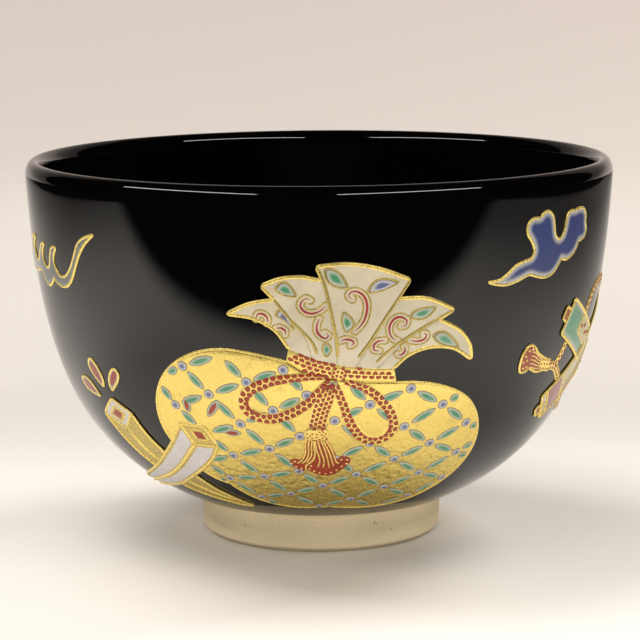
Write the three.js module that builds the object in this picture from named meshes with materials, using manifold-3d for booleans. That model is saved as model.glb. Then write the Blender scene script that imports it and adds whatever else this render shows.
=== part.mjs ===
// A glazed stoneware tea bowl with raised enamel ornament. Millimetres, +Z up, origin at the centre of
// the foot's base. The ornament's front faces -Y. The bowl is thrown clay on a luted foot ring, dipped in
// black glaze, and then painted with enamels that stand a little proud of the glaze.
import * as THREE from "three";
import { mergeVertices } from "three/addons/utils/BufferGeometryUtils.js";
import Module from "manifold-3d";

const wasm = await Module();
wasm.setup();

// ---- Driving dimensions ----
const BOWL_RADIUS = 60; // outside, at the widest ring
const BOWL_HEIGHT = 77.6;
const LIP_THICKNESS = 3.6; // with the glaze on both sides
const LIP_ROUND = 2.7; // how far the lip rises over the widest ring
const FLOOR_THICKNESS = 7; // from the foot ring's seat to the floor inside
const GLAZE_THICKNESS = 0.5;
const FOOT_RADIUS = 24.6; // outside, at the base
const FOOT_TAPER = 0.3; // how much wider the foot is at its top
const FOOT_HEIGHT = 6.5;
const FOOT_WALL = 5.1;
const FOOT_CHAMFER = 0.7;
const FOOT_SHOULDER = 0.7; // bare clay standing over the foot ring's seat
const GLAZE_LINE_OUT = 3.1; // from the foot's wall out to the edge of the glaze
const GLAZE_LINE_RISE = 2; // from the foot ring's seat up to the edge of the glaze
const ENAMEL_THICKNESS = 0.3;
const FIRED_GAP = 0.02; // between an enamel and what it is fired on
const CORD_WIDTH = 2; // of each braid of the cords
const TAIL_WIDTH = 3.7; // of the two braids that hang side by side under the bag's knot

// ---- How finely curves are cut ----
const TURN_STEPS = 52;
const WALL_STEPS = 8;
const LIP_STEPS = 4;
const INSIDE_STEPS = 6;
const OUTLINE_STEP = 3.2; // length of the straight pieces of an outline's curves
const EDGE_STEP = 7; // and of its straight edges, which have to follow the round wall

// The bends of the wall's curves, as shares of its radial and vertical run.
const WALL_LOW_BEND = [0.675, 0.155];
const WALL_HIGH_BEND = [0.931, 0.398];
const FLOOR_BEND = 0.76;
const INSIDE_HIGH_BEND = [0.968, 0.32];

// The ornament is drawn on a flat sheet that wraps the wall once: u runs round from the front and v goes
// down from the widest ring to the edge of the glaze. At these sizes the drawing keeps its shape.
const SHEET_WIDTH = 377;
const SHEET_HEIGHT = 97.4;

// ---- Profiles, as (radius, height) points ----
const vec = (r, z) => new THREE.Vector2(r, z);
const widestHeight = BOWL_HEIGHT - LIP_ROUND;
const footTopRadius = FOOT_RADIUS + FOOT_TAPER;
const glazeLine = vec(footTopRadius + GLAZE_LINE_OUT, FOOT_HEIGHT + GLAZE_LINE_RISE);
const floorTop = FOOT_HEIGHT + FLOOR_THICKNESS;
const insideRadius = BOWL_RADIUS - LIP_THICKNESS;

function between(from, to, [across, up]) {
  return vec(from.x + (to.x - from.x) * across, from.y + (to.y - from.y) * up);
}

const widest = vec(BOWL_RADIUS, widestHeight);
const wallCurve = new THREE.CubicBezierCurve(
  glazeLine,
  between(glazeLine, widest, WALL_LOW_BEND),
  between(glazeLine, widest, WALL_HIGH_BEND),
  widest,
);

const floorCentre = vec(0, floorTop);
const insideTop = vec(insideRadius, widestHeight);
const insideCurve = new THREE.CubicBezierCurve(
  floorCentre,
  vec(insideRadius * FLOOR_BEND, floorTop),
  between(floorCentre, insideTop, INSIDE_HIGH_BEND),
  insideTop,
);

// A curve's points moved sideways: outwards on the wall, and into the clay on the inside.
function shifted(curve, steps, distance) {
  const points = [];
  for (let i = 0; i <= steps; i++) {
    const along = curve.getTangent(i / steps);
    const side = vec(along.y, -along.x).multiplyScalar(distance);
    points.push(curve.getPoint(i / steps).add(side));
  }
  return points;
}

// The lip's half ellipse from the inside to the outside, without its two ends.
function lipPoints(shrink) {
  const points = [];
  for (let i = 1; i < LIP_STEPS; i++) {
    const angle = Math.PI * (1 - i / LIP_STEPS);
    const r = BOWL_RADIUS - LIP_THICKNESS / 2 + (LIP_THICKNESS / 2 - shrink) * Math.cos(angle);
    points.push(vec(r, widestHeight + (LIP_ROUND - shrink) * Math.sin(angle)));
  }
  return points;
}

// From the middle of the floor, up the inside, over the lip and down the wall to the edge of the glaze.
function skin(depth) {
  const inside = shifted(insideCurve, INSIDE_STEPS, depth);
  const wall = shifted(wallCurve, WALL_STEPS, -depth);
  inside[0].x = 0;
  return [...inside, ...lipPoints(depth), ...wall.reverse()];
}

// ---- Solids ----
function lathe(profile) {
  const geometry = new THREE.LatheGeometry(profile, TURN_STEPS);
  geometry.rotateX(Math.PI / 2);
  return geometry;
}

function solidOf(geometry) {
  const bare = geometry.clone();
  bare.deleteAttribute("normal");
  bare.deleteAttribute("uv");
  const merged = mergeVertices(bare, 1e-4);
  return new wasm.Manifold(
    new wasm.Mesh({
      numProp: 3,
      vertProperties: merged.attributes.position.array,
      triVerts: new Uint32Array(merged.index.array),
    }),
  );
}

function geometryOf(solid) {
  const { vertProperties, triVerts } = solid.getMesh();
  const geometry = new THREE.BufferGeometry();
  geometry.setAttribute("position", new THREE.BufferAttribute(vertProperties, 3));
  geometry.setIndex(new THREE.BufferAttribute(triVerts, 1));
  geometry.computeVertexNormals();
  return geometry;
}

function bodyProfile() {
  return [
    vec(0, FOOT_HEIGHT),
    vec(footTopRadius, FOOT_HEIGHT),
    vec(footTopRadius, FOOT_HEIGHT + FOOT_SHOULDER),
    ...skin(GLAZE_THICKNESS).reverse(),
  ];
}

function glazeProfile() {
  return [...skin(GLAZE_THICKNESS), ...skin(0).reverse()];
}

function footProfile() {
  const hole = FOOT_RADIUS - FOOT_WALL;
  const ring = [
    vec(hole, FOOT_HEIGHT),
    vec(hole, FOOT_CHAMFER),
    vec(hole + FOOT_CHAMFER, 0),
    vec(FOOT_RADIUS - FOOT_CHAMFER, 0),
    vec(FOOT_RADIUS, FOOT_CHAMFER),
    vec(footTopRadius, FOOT_HEIGHT),
  ];
  return [...ring, ring[0]];
}

// ---- The sheet's place on the wall ----
// How far round the wall a step up it counts for, added up from the edge of the glaze: with this height
// the drawing is neither stretched nor squeezed where it goes onto the bowl.
const LATITUDE_STEPS = 400;
const latitudes = [0];
for (let i = 0; i < LATITUDE_STEPS; i++) {
  const a = wallCurve.getPoint(i / LATITUDE_STEPS);
  const b = wallCurve.getPoint((i + 1) / LATITUDE_STEPS);
  latitudes.push(latitudes[i] + a.distanceTo(b) / ((a.x + b.x) / 2));
}

function wallShare(v) {
  const wanted = (1 + v / SHEET_HEIGHT) * latitudes[LATITUDE_STEPS];
  let i = latitudes.findIndex((latitude) => latitude > wanted);
  if (i < 0) i = LATITUDE_STEPS;
  i = Math.max(i, 1);
  const step = latitudes[i] - latitudes[i - 1];
  return (i - 1 + (wanted - latitudes[i - 1]) / step) / LATITUDE_STEPS;
}

// The point over (u, v) of the sheet, at a height over the glaze.
function onWall(u, v, height) {
  const share = Math.min(Math.max(wallShare(v), 0), 1);
  const along = wallCurve.getTangent(share);
  const p = wallCurve.getPoint(share).add(vec(along.y, -along.x).multiplyScalar(height));
  const angle = (u / SHEET_WIDTH) * 2 * Math.PI;
  return new THREE.Vector3(p.x * Math.sin(angle), -p.x * Math.cos(angle), p.y);
}

// ---- Enamels ----
// An outline is a list of runs. Each run is a smooth curve through its points, runs meet at corners, and
// a run of two points is straight.
function samples(run) {
  const curve = new THREE.SplineCurve(run.map(([u, v]) => vec(u, v)));
  if (run.length === 2) return curve.getPoints(Math.ceil(curve.getLength() / EDGE_STEP));
  return curve.getPoints(Math.max(3, Math.ceil(curve.getLength() / OUTLINE_STEP)));
}

function outlineOf(runs) {
  return runs.flatMap((run) => samples(run).slice(0, -1));
}

// A strip of even width along a line of points.
function strip(points, width) {
  const line = samples(points);
  const sides = [1, -1].map((side) =>
    line.map((p, i) => {
      const before = line[Math.max(i - 1, 0)];
      const after = line[Math.min(i + 1, line.length - 1)];
      const along = after.clone().sub(before).normalize();
      return vec(p.x - along.y * side * (width / 2), p.y + along.x * side * (width / 2));
    }),
  );
  return [...sides[0].reverse(), ...sides[1]];
}

// A drop with its point at tip and its round end at head.
function drop([tipU, tipV], [headU, headV], width) {
  const along = vec(headU - tipU, headV - tipV);
  const across = vec(-along.y, along.x).normalize().multiplyScalar(width / 2);
  const at = (share, side) => [
    tipU + along.x * share + across.x * side,
    tipV + along.y * share + across.y * side,
  ];
  const tip = [tipU, tipV];
  return [[tip, at(0.4, 0.7), at(0.75, 1), at(1, 0), at(0.75, -1), at(0.4, -0.7), tip]];
}

// A tool that cuts an outline through the wall, straight in along the wall's own normals.
const CUT_OUTWARDS = 40;
const CUT_INWARDS = 8;
function cutter(outline) {
  const geometry = new THREE.ExtrudeGeometry(new THREE.Shape(outline), {
    depth: CUT_OUTWARDS + CUT_INWARDS,
    bevelEnabled: false,
  });
  const at = geometry.attributes.position;
  for (let i = 0; i < at.count; i++) {
    const p = onWall(at.getX(i), at.getY(i), at.getZ(i) - CUT_INWARDS);
    at.setXYZ(i, p.x, p.y, p.z);
  }
  return solidOf(geometry);
}

function cutterOf(outlines) {
  return outlines.map(cutter).reduce((all, next) => all.add(next));
}

// One coat of enamel all round the wall. Layer 0 lies on the glaze, and layer 1 on layer 0.
function coat(layer) {
  const low = FIRED_GAP + layer * (ENAMEL_THICKNESS + FIRED_GAP);
  const under = shifted(wallCurve, WALL_STEPS, low).reverse();
  const over = shifted(wallCurve, WALL_STEPS, low + ENAMEL_THICKNESS);
  return solidOf(lathe([...over, ...under, over[0]]));
}

const coats = [coat(0), coat(1)];

const bowl = new THREE.Group();

function add(name, geometry, colour, roughness, metalness = 0) {
  const material = new THREE.MeshStandardMaterial({ color: colour, roughness, metalness });
  const mesh = new THREE.Mesh(geometry, material);
  mesh.name = name;
  bowl.add(mesh);
}

// An enamel in the shape of its outlines, less what lies in front of it in the same coat.
function enamel(name, outlines, { colour, metalness = 0, layer = 0, behind = [] }) {
  let piece = coats[layer].intersect(cutterOf(outlines));
  for (const front of behind) piece = piece.subtract(cutterOf(front));
  add(name, geometryOf(piece), colour, metalness ? 0.3 : 0.2, metalness);
}

const GOLD = { colour: 0xe8b94a, metalness: 1 };
const IVORY = { colour: 0xc9bf9e };
const IRON_RED = { colour: 0x8c2f1c };
const WHITE = { colour: 0xd8d2cc };
const BLUE = { colour: 0x2c3d86 };
const GREY_GREEN = { colour: 0x9aa596 };
const GREEN = { colour: 0x2f7a58 };

// ---- The bowl itself ----
add("clay_body", lathe(bodyProfile()), 0xbfa987, 0.85);
add("foot_ring", lathe(footProfile()), 0xc4ae8a, 0.85);
add("black_glaze", lathe(glazeProfile()), 0x060607, 0.08);

// ---- The tied bag at the front ----
const neckTop = [
  [-6.2, -28.2], [-1.5, -30.2], [3.4, -31.6], [6.8, -32.2], [10.6, -32.6], [14.9, -32.8],
];
const neckBottom = [
  [15.6, -36.1], [8, -35.6], [2, -34.8], [-3, -33.4], [-6.8, -31],
];
const neck = [
  neckTop,
  [neckTop.at(-1), neckBottom[0]],
  neckBottom,
  [neckBottom.at(-1), neckTop[0]],
];
// What lies behind a neighbour is drawn on under it, up to a point inside it, and is then cut back.
const neckMiddle = [3.6, -33.2];
const bagBody = [
  [
    neckBottom.at(-1), [-13, -29.6], [-20, -28.9], [-27, -30.5], [-33, -34.6], [-37, -41],
    [-38.1, -48], [-36.4, -55], [-32.6, -62.2], [-29, -66.2], [-25.8, -68],
  ],
  [[-25.8, -68], [-23.2, -72.6], [-18.6, -78], [-12, -81.8], [-5, -83], [2.6, -81.9]],
  [
    [2.6, -81.9], [8, -83.3], [15, -84], [22, -83], [29, -79.2], [34.6, -72.4], [38.2, -64],
    [39.2, -55.5], [37.2, -47.5], [32.5, -41.2], [26, -37.7], [20, -36.4], neckBottom[0],
  ],
  [neckBottom[0], neckMiddle],
  [neckMiddle, neckBottom.at(-1)],
];

// The pleats of the bag's mouth, from the front one, in the middle, to the ones that lie behind it.
const middlePleat = [
  [[6.8, -32.9], [11, -25], [14.8, -18.6], [17.2, -15]],
  [[17.2, -15], [11, -12.6], [5, -11.6], [-0.6, -12]],
  [[-0.6, -12], [1.4, -17], [2.8, -25], [3.4, -32.9]],
  [[3.4, -32.9], [6.8, -32.9]],
];
const leftPleat = [
  [[3.4, -32.9], [5, -22]],
  [[5, -22], [0.4, -14.4]],
  [[0.4, -14.4], [-3.5, -14], [-7.5, -14.4], [-11, -15.8]],
  [[-11, -15.8], [-8.6, -18.4], [-6.8, -20.8], [-3.2, -25.5], [-1, -32.5]],
  [[-1, -32.5], [3.4, -32.9]],
];
const outerLeftPleat = [
  [[-1, -32.5], [-3, -21]],
  [[-3, -21], [-8.6, -18.4]],
  [[-8.6, -18.4], [-13.5, -19.4], [-18, -21.5]],
  [[-18, -21.5], [-12.5, -22.3], [-8.6, -24.6], [-6, -28.4], [-4, -31]],
  [[-4, -31], [-1, -32.5]],
];
const rightPleat = [
  [[6.8, -32.9], [10.8, -33.4]],
  [[10.8, -33.4], [17, -27], [23.4, -23.2], [26.6, -21.4]],
  [[26.6, -21.4], [20.5, -18.8], [14.8, -18.6]],
  [[14.8, -18.6], [9, -24]],
  [[9, -24], [6.8, -32.9]],
];
const outerRightPleat = [
  [[13.6, -34], [17.5, -30.3], [21.5, -28.9], [27, -29.4], [31.8, -32.3]],
  [[31.8, -32.3], [31, -29.2], [28.4, -26], [23.4, -23.2]],
  [[23.4, -23.2], [16, -25]],
  [[16, -25], [10.8, -33.4]],
  [[10.8, -33.4], [13.6, -34]],
];
const pleats = {
  middle: middlePleat,
  left: leftPleat,
  right: rightPleat,
  outer_left: outerLeftPleat,
  outer_right: outerRightPleat,
};

const bowLeft = [
  [1.2, -36.4], [-3, -35], [-8, -35], [-12, -36], [-15, -37.8], [-16.4, -40.6],
  [-15.6, -43.2], [-13, -44.5], [-10, -44.5], [-7, -43.6], [-4, -41.7], [-1.4, -39.4],
];
const bowRight = [
  [3.9, -38], [5, -42], [6.6, -46], [8.8, -49.3], [11.6, -50.6], [14.3, -49.8],
  [15.7, -47.4], [15.3, -44.2], [13.6, -41.2], [11.2, -38.6], [8.2, -37],
];
const cordTail = [
  [2.2, -37], [1, -39.6], [0.1, -42.6], [-0.6, -46],
];
const tassel = [
  [[-2.9, -46.1], [1.5, -46.1]],
  [[1.5, -46.1], [1.4, -49.6], [3, -53], [4.2, -55.4]],
  [[4.2, -55.4], [5.6, -55], [7, -56.2], [6.2, -58.6], [4, -61], [1.4, -62.2], [-1.6, -61.4], [-3.4, -60]],
  [[-3.4, -60], [-5, -60.2], [-6.8, -58.6], [-7.2, -56.4], [-5.6, -55.8], [-4.4, -56]],
  [[-4.4, -56], [-4, -53], [-3.2, -49.6], [-2.9, -46.1]],
];

// ---- The two tusks beside it ----
const whiteTuskEnd = [
  [[-32.6, -47.3], [-26.5, -47.5]],
  [[-26.5, -47.5], [-24.3, -53]],
  [[-24.3, -53], [-30.4, -53.1]],
  [[-30.4, -53.1], [-32.6, -47.3]],
];
const whiteTusk = [
  [
    [-32.6, -47.3], [-36.6, -52.8], [-41, -57.5], [-47, -62.8], [-54, -67.5], [-62, -71.8],
    [-70, -76.4], [-78, -81], [-86, -86],
  ],
  [
    [-86, -86], [-76, -83.2], [-66, -79.6], [-57, -76.8], [-50, -74.6], [-43, -71],
    [-37, -66.5], [-31.5, -62], [-27, -57.5], [-24.3, -53],
  ],
  [[-24.3, -53], [-28.4, -50.2]],
  [[-28.4, -50.2], [-32.6, -47.3]],
];
const goldTuskEnd = [
  [[-52.6, -43.8], [-47, -46.7]],
  [[-47, -46.7], [-51.4, -51.6]],
  [[-51.4, -51.6], [-58.4, -48.6]],
  [[-58.4, -48.6], [-52.6, -43.8]],
];
const goldTuskRoot = [
  [[-58.4, -48.6], [-56, -54], [-53, -60], [-49, -66.5]],
  [[-49, -66.5], [-41, -61]],
  [[-41, -61], [-45, -52], [-47, -46.7]],
  [[-47, -46.7], [-52.4, -47.6]],
  [[-52.4, -47.6], [-58.4, -48.6]],
];
const goldTuskPoint = [
  [[-49, -66.5], [-45, -72.8], [-40, -77.4], [-34, -81], [-28, -83.4], [-23.8, -84]],
  [[-23.8, -84], [-28, -78.4], [-32, -73], [-37, -63.5]],
  [[-37, -63.5], [-49, -66.5]],
];
const drops = [
  drop([-57.2, -44.1], [-63.4, -40.6], 3.4),
  drop([-54.1, -41.2], [-56.4, -34.8], 3.4),
  drop([-51.3, -41.6], [-48, -36.1], 3.2),
];

// ---- The clouds, each drawn once and set where it goes round the bowl ----
const curledCloud = [
  [
    [-48, -8.1], [-51.5, -9], [-53.6, -10.5], [-55.5, -13.5], [-57.5, -16.2], [-60, -17.9],
    [-62.5, -18], [-64.2, -16.5], [-64.4, -14.4], [-62.8, -12.2],
  ],
  [
    [-62.8, -12.2], [-65, -12.6], [-66.5, -14.5], [-67.4, -16.4], [-69.2, -17.1],
    [-71, -16], [-70.8, -13.8], [-69.2, -12],
  ],
  [
    [-69.2, -12], [-71.5, -12.8], [-73.4, -15], [-75.4, -16.5], [-77.6, -15.6],
    [-78.2, -13.4], [-75.6, -11.2],
  ],
  [[-75.6, -11.2], [-79, -11.6], [-82, -14], [-86, -16.4], [-92, -17.4]],
  [[-92, -17.4], [-86, -18.6], [-80, -18.8], [-73.6, -18]],
  [[-73.6, -18], [-72, -19.6], [-69.3, -20.7], [-67, -19.8], [-65.8, -18.6]],
  [
    [-65.8, -18.6], [-64, -19.6], [-61.8, -20], [-59.3, -19.5], [-57.3, -18],
    [-55.5, -15.2], [-53.2, -11.9], [-51, -9.7], [-48, -8.1],
  ],
];
const forkedCloud = [
  [
    [33.8, -16.7], [36.5, -16.6], [38.3, -15.6], [40.4, -14], [42.6, -13.4], [44.6, -12.9],
    [45.2, -11.6], [44.4, -9.8], [43.1, -8.2], [42.8, -6.6], [44, -5.4], [46.2, -5.4],
  ],
  [
    [46.2, -5.4], [47.2, -4.5], [48.4, -4.2], [50, -5.2], [50.7, -7.2], [51.3, -9.2],
    [52.4, -10.1], [53.8, -9.6], [54.6, -8], [54.9, -6], [56, -4.9], [58, -5],
  ],
  [
    [58, -5], [59.4, -4.7], [61.2, -5], [62.4, -6.3], [62.6, -8], [63.2, -9.4],
    [62.4, -10.8], [60, -11.4],
  ],
  [[60, -11.4], [59.2, -12.8], [57.8, -14], [55.8, -14.4], [54, -13.9]],
  [
    [54, -13.9], [53, -15.3], [51.4, -16.8], [49, -17.2], [46.4, -16.7], [44.3, -16.2],
    [41.5, -17], [38.5, -17.6], [36, -17.3], [33.8, -16.7],
  ],
];

// ---- The crossed scrolls ----
// A rolled scroll's outline, from its left end along its axis, and what stands in its end.
function bar([startU, startV], angle, from, to, width) {
  const along = vec(Math.cos(angle), Math.sin(angle));
  const corner = (distance, side) => [
    startU + along.x * distance - along.y * side * (width / 2),
    startV + along.y * distance + along.x * side * (width / 2),
  ];
  const corners = [corner(from, -1), corner(to, -1), corner(to, 1), corner(from, 1)];
  return corners.map((c, i) => [c, corners[(i + 1) % corners.length]]);
}

const SCROLL_LENGTH = 42;
const UNDERLAP = 1.5; // how far a knob is drawn on under its roll
const SCROLL_WIDTH = 8;
const KNOB_LENGTH = 2.2;
const KNOB_WIDTH = 2.8;
const scrolls = {
  falling: { start: [60.6, -26.8], angle: -0.51 },
  rising: { start: [60.8, -48.6], angle: 0.54 },
};
for (const scroll of Object.values(scrolls)) {
  const { start, angle } = scroll;
  scroll.roll = bar(start, angle, 0, SCROLL_LENGTH, SCROLL_WIDTH);
  scroll.nearHalf = bar(start, angle, 0, SCROLL_LENGTH / 2, SCROLL_WIDTH);
  scroll.farHalf = bar(start, angle, SCROLL_LENGTH / 2, SCROLL_LENGTH, SCROLL_WIDTH);
  scroll.nearKnob = bar(start, angle, -KNOB_LENGTH, UNDERLAP, KNOB_WIDTH);
  const knobEnd = SCROLL_LENGTH + KNOB_LENGTH;
  scroll.farKnob = bar(start, angle, SCROLL_LENGTH - UNDERLAP, knobEnd, KNOB_WIDTH);
}
const scrollTassel = [
  [[57, -36], [54, -35], [51, -33.4], [49.6, -31.9]],
  [[49.6, -31.9], [47.8, -31.3], [46.1, -32.8], [45.7, -35], [46.1, -37], [47.6, -37.3], [49, -36.6]],
  [[49, -36.6], [52, -37.9], [54.6, -37.9], [57, -38.4]],
  [[57, -38.4], [57, -36]],
];
const scrollCord = [
  [57.3, -37.2], [60, -38.1], [62.6, -39.9], [65, -41.4],
];
const scrollSwags = {
  upper: [
    [70.6, -27.3], [74, -23.4], [82, -21.6], [89, -24.2], [92, -27.6],
  ],
  lower: [
    [71.6, -47.4], [78, -52], [87, -53.4], [94, -51.5], [96.2, -48.6],
  ],
};

// ---- The mallet and the jewels at the back ----
const MALLET = { start: [131, -52], angle: 0.5 };
const malletHead = bar(MALLET.start, MALLET.angle, 0, 27, 16);
const malletHandle = bar([140.5, -57.4], MALLET.angle - Math.PI / 2, 0, 19, 4);

// A jewel is a drop with a broad round body that sits upright.
function jewel(centre, bottom, size) {
  return drop([centre, bottom + size * 1.25], [centre, bottom], size);
}
const jewels = [jewel(205, -56, 17), jewel(194, -72, 17), jewel(216, -72, 17)];

const moved = (runs, du) => runs.map((run) => run.map(([u, v]) => [u + du, v]));

// ---- The enamels ----
const area = (runs) => [outlineOf(runs)];

const whiteTuskArea = area(whiteTusk);
const whiteTuskEndArea = area(whiteTuskEnd);
const neckArea = area(neck);
enamel("bag_gold_ground", area(bagBody), {
  ...GOLD,
  behind: [[...whiteTuskArea, ...whiteTuskEndArea], neckArea],
});
enamel("bag_neck_cord", neckArea, IRON_RED);
const inFront = [neckArea];
for (const [side, runs] of Object.entries(pleats)) {
  enamel(`bag_pleat_${side}`, area(runs), { ...IVORY, behind: [...inFront] });
  inFront.push(area(runs));
}

const leftLoop = [strip(bowLeft, CORD_WIDTH)];
const rightLoop = [strip(bowRight, CORD_WIDTH)];
const tasselTop = area(tassel);
enamel("bag_bow_left", leftLoop, { ...IRON_RED, layer: 1 });
enamel("bag_bow_right", rightLoop, { ...IRON_RED, layer: 1 });
enamel("bag_tassel", tasselTop, { ...IRON_RED, layer: 1 });
enamel("bag_cord_tail", [strip(cordTail, TAIL_WIDTH)], {
  ...IRON_RED,
  layer: 1,
  behind: [leftLoop, rightLoop, tasselTop],
});

enamel("white_tusk", whiteTuskArea, { ...WHITE, behind: [whiteTuskEndArea] });
enamel("white_tusk_end", whiteTuskEndArea, GOLD);
enamel("gold_tusk_root", area(goldTuskRoot), {
  ...GOLD,
  behind: [whiteTuskArea, area(goldTuskEnd)],
});
enamel("gold_tusk_point", area(goldTuskPoint), { ...GOLD, behind: [whiteTuskArea] });
enamel("gold_tusk_end", area(goldTuskEnd), WHITE);
drops.forEach((runs, i) => enamel(`red_drop_${i + 1}`, area(runs), IRON_RED));

enamel("curled_cloud_left", area(curledCloud), GREY_GREEN);
enamel("forked_cloud_right", area(forkedCloud), BLUE);
enamel("forked_cloud_back", area(moved(forkedCloud, 128)), BLUE);
enamel("curled_cloud_back", area(moved(curledCloud, 320)), GREY_GREEN);

const { falling, rising } = scrolls;
const risingArea = area(rising.roll);
const fallingArea = area(falling.roll);
const tasselArea = area(scrollTassel);
const underScrolls = { ...GOLD, behind: [risingArea, fallingArea] };
enamel("scroll_rising", risingArea, GOLD);
enamel("scroll_falling_near_half", area(falling.nearHalf), { ...GREEN, behind: [risingArea] });
enamel("scroll_falling_far_half", area(falling.farHalf), { ...GREEN, behind: [risingArea] });
enamel("scroll_rising_near_knob", area(rising.nearKnob), { ...IRON_RED, behind: [risingArea] });
enamel("scroll_rising_far_knob", area(rising.farKnob), { ...IRON_RED, behind: [risingArea] });
enamel("scroll_falling_near_knob", area(falling.nearKnob), { ...IRON_RED, behind: [fallingArea] });
enamel("scroll_falling_far_knob", area(falling.farKnob), { ...IRON_RED, behind: [fallingArea] });
enamel("scroll_tassel", tasselArea, IRON_RED);
enamel("scroll_tassel_cord", [strip(scrollCord, CORD_WIDTH)], {
  ...GOLD,
  behind: [risingArea, fallingArea, tasselArea],
});
enamel("scroll_swag_upper", [strip(scrollSwags.upper, CORD_WIDTH)], underScrolls);
enamel("scroll_swag_lower", [strip(scrollSwags.lower, CORD_WIDTH)], underScrolls);

const malletHeadArea = area(malletHead);
enamel("mallet_head", malletHeadArea, GOLD);
enamel("mallet_handle", area(malletHandle), { ...IRON_RED, behind: [malletHeadArea] });
enamel("jewel_top", area(jewels[0]), BLUE);
enamel("jewel_left", area(jewels[1]), { ...GREEN, behind: [area(jewels[0])] });
enamel("jewel_right", area(jewels[2]), { ...IRON_RED, behind: [area(jewels[0])] });

export default bowl;
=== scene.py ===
"""A black-glazed tea bowl with raised gold and enamel ornament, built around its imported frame."""

import math

import bpy
import numpy as np
from bpy.props import FloatProperty, FloatVectorProperty, PointerProperty
from mathutils import Matrix, Vector
from mathutils.geometry import delaunay_2d_cdt


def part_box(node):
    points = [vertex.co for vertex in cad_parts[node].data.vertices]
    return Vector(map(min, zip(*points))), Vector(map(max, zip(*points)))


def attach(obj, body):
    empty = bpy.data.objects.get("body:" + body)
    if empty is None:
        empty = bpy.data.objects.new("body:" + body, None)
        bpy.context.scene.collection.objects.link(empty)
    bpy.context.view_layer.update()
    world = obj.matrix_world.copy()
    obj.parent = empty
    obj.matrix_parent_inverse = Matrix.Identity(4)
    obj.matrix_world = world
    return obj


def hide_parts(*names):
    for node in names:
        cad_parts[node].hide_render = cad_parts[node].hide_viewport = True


bl_info = {
    "name": "Enamelled tea bowl",
    "version": (1, 0, 0),
    "blender": (4, 5, 0),
    "location": "3D View > Sidebar > Tea bowl",
    "description": "Models a glazed tea bowl with raised enamels on its packed frame",
    "category": "Object",
}

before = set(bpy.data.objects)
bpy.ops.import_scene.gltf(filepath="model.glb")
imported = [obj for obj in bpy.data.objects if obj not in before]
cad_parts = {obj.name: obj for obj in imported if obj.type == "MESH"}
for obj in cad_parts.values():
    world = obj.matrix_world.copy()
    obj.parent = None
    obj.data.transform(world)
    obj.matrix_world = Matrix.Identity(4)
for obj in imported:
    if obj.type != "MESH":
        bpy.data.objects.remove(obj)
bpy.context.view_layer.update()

MM = 0.001

# ---- Sizes that come from the frame, in millimetres ----
glaze_low, glaze_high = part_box("black_glaze")
foot_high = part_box("foot_ring")[1]
BOWL_RADIUS = glaze_high[0] / MM
BOWL_HEIGHT = glaze_high[2] / MM
FOOT_TOP_RADIUS = foot_high[0] / MM
FOOT_HEIGHT = foot_high[2] / MM
GLAZE_LINE_HEIGHT = glaze_low[2] / MM

LIP_ROUND = 2.7  # how far the lip rises over the widest ring
LIP_THICKNESS = 3.6
WIDEST_HEIGHT = BOWL_HEIGHT - LIP_ROUND
GLAZE_LINE_RADIUS = FOOT_TOP_RADIUS + 3.1
FOOT_WALL = 5.1
FOOT_TAPER = 0.3
NECK_FILLET = 1.1  # the round between the foot's outside and the bowl
RECESS_FILLET = 1.3  # the round between the foot's inside and the bowl's underside
FLOOR_TOP = FOOT_HEIGHT + 7.0
GLAZE_THICKNESS = 0.5

# The ornament is drawn on a flat sheet that wraps the wall once: u runs round from the front, and
# v goes down from the widest ring to the edge of the glaze, where it is -SHEET_HEIGHT.
SHEET_WIDTH = 377.0
SHEET_HEIGHT = 97.4


# ---- Sizes and colours a user would change ----
class BowlSizes(bpy.types.PropertyGroup):
    """How high the ornament stands and how fine it is cut."""

    patch_height: FloatProperty(
        name="Patch height",
        description="How far a coloured patch of enamel stands over the glaze",
        default=0.22 * MM,
        unit="LENGTH",
    )
    line_flatness: FloatProperty(
        name="Line flatness",
        description="Height of a painted line as a share of its width",
        default=0.3,
        min=0.1,
        max=1.0,
    )
    outline_width: FloatProperty(
        name="Outline width",
        description="Width of the gold line round the clouds and along the gold tusk",
        default=0.62 * MM,
        unit="LENGTH",
    )
    fine_width: FloatProperty(
        name="Fine line width",
        description="Width of the red tendrils and of the gold tusk's ridge lines",
        default=0.42 * MM,
        unit="LENGTH",
    )


def colour_property(name, description, default):
    return FloatVectorProperty(
        name=name, description=description, default=default, subtype="COLOR", min=0.0, max=1.0
    )


class BowlColours(bpy.types.PropertyGroup):
    """The colours of the clay, the glaze and the enamels, in linear light."""

    clay: colour_property("Clay", "Bare fired clay", (0.84, 0.71, 0.47))
    glaze: colour_property("Glaze", "Black iron glaze", (0.0012, 0.0010, 0.0010))
    gold: colour_property("Gold", "Fired gold, lit", (1.0, 0.77, 0.22))
    matt_gold: colour_property("Matt gold", "Gold over pale enamel", (0.60, 0.45, 0.12))
    ivory: colour_property("Ivory", "Ivory enamel", (0.60, 0.53, 0.38))
    red: colour_property("Red", "Iron red enamel", (0.30, 0.035, 0.012))
    crimson: colour_property("Crimson", "Red enamel of the fine tendrils", (0.36, 0.03, 0.03))
    green: colour_property("Green", "Copper green enamel", (0.07, 0.27, 0.14))
    blue: colour_property("Blue", "Cobalt blue enamel", (0.026, 0.042, 0.155))
    halo: colour_property("Halo", "Thin edge of a green or red enamel", (0.40, 0.43, 0.33))
    white: colour_property("White", "White enamel", (0.74, 0.70, 0.69))
    yellow: colour_property("Yellow", "Yellow enamel of the scrolls", (0.52, 0.42, 0.13))
    rose: colour_property("Rose", "Rose enamel of the scrolls", (0.26, 0.045, 0.045))
    blue_grey: colour_property("Blue grey", "Greyish blue of dots and leaves", (0.12, 0.14, 0.27))
    cloud_grey: colour_property("Cloud grey", "Dark middle of a pale cloud", (0.075, 0.09, 0.09))


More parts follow.
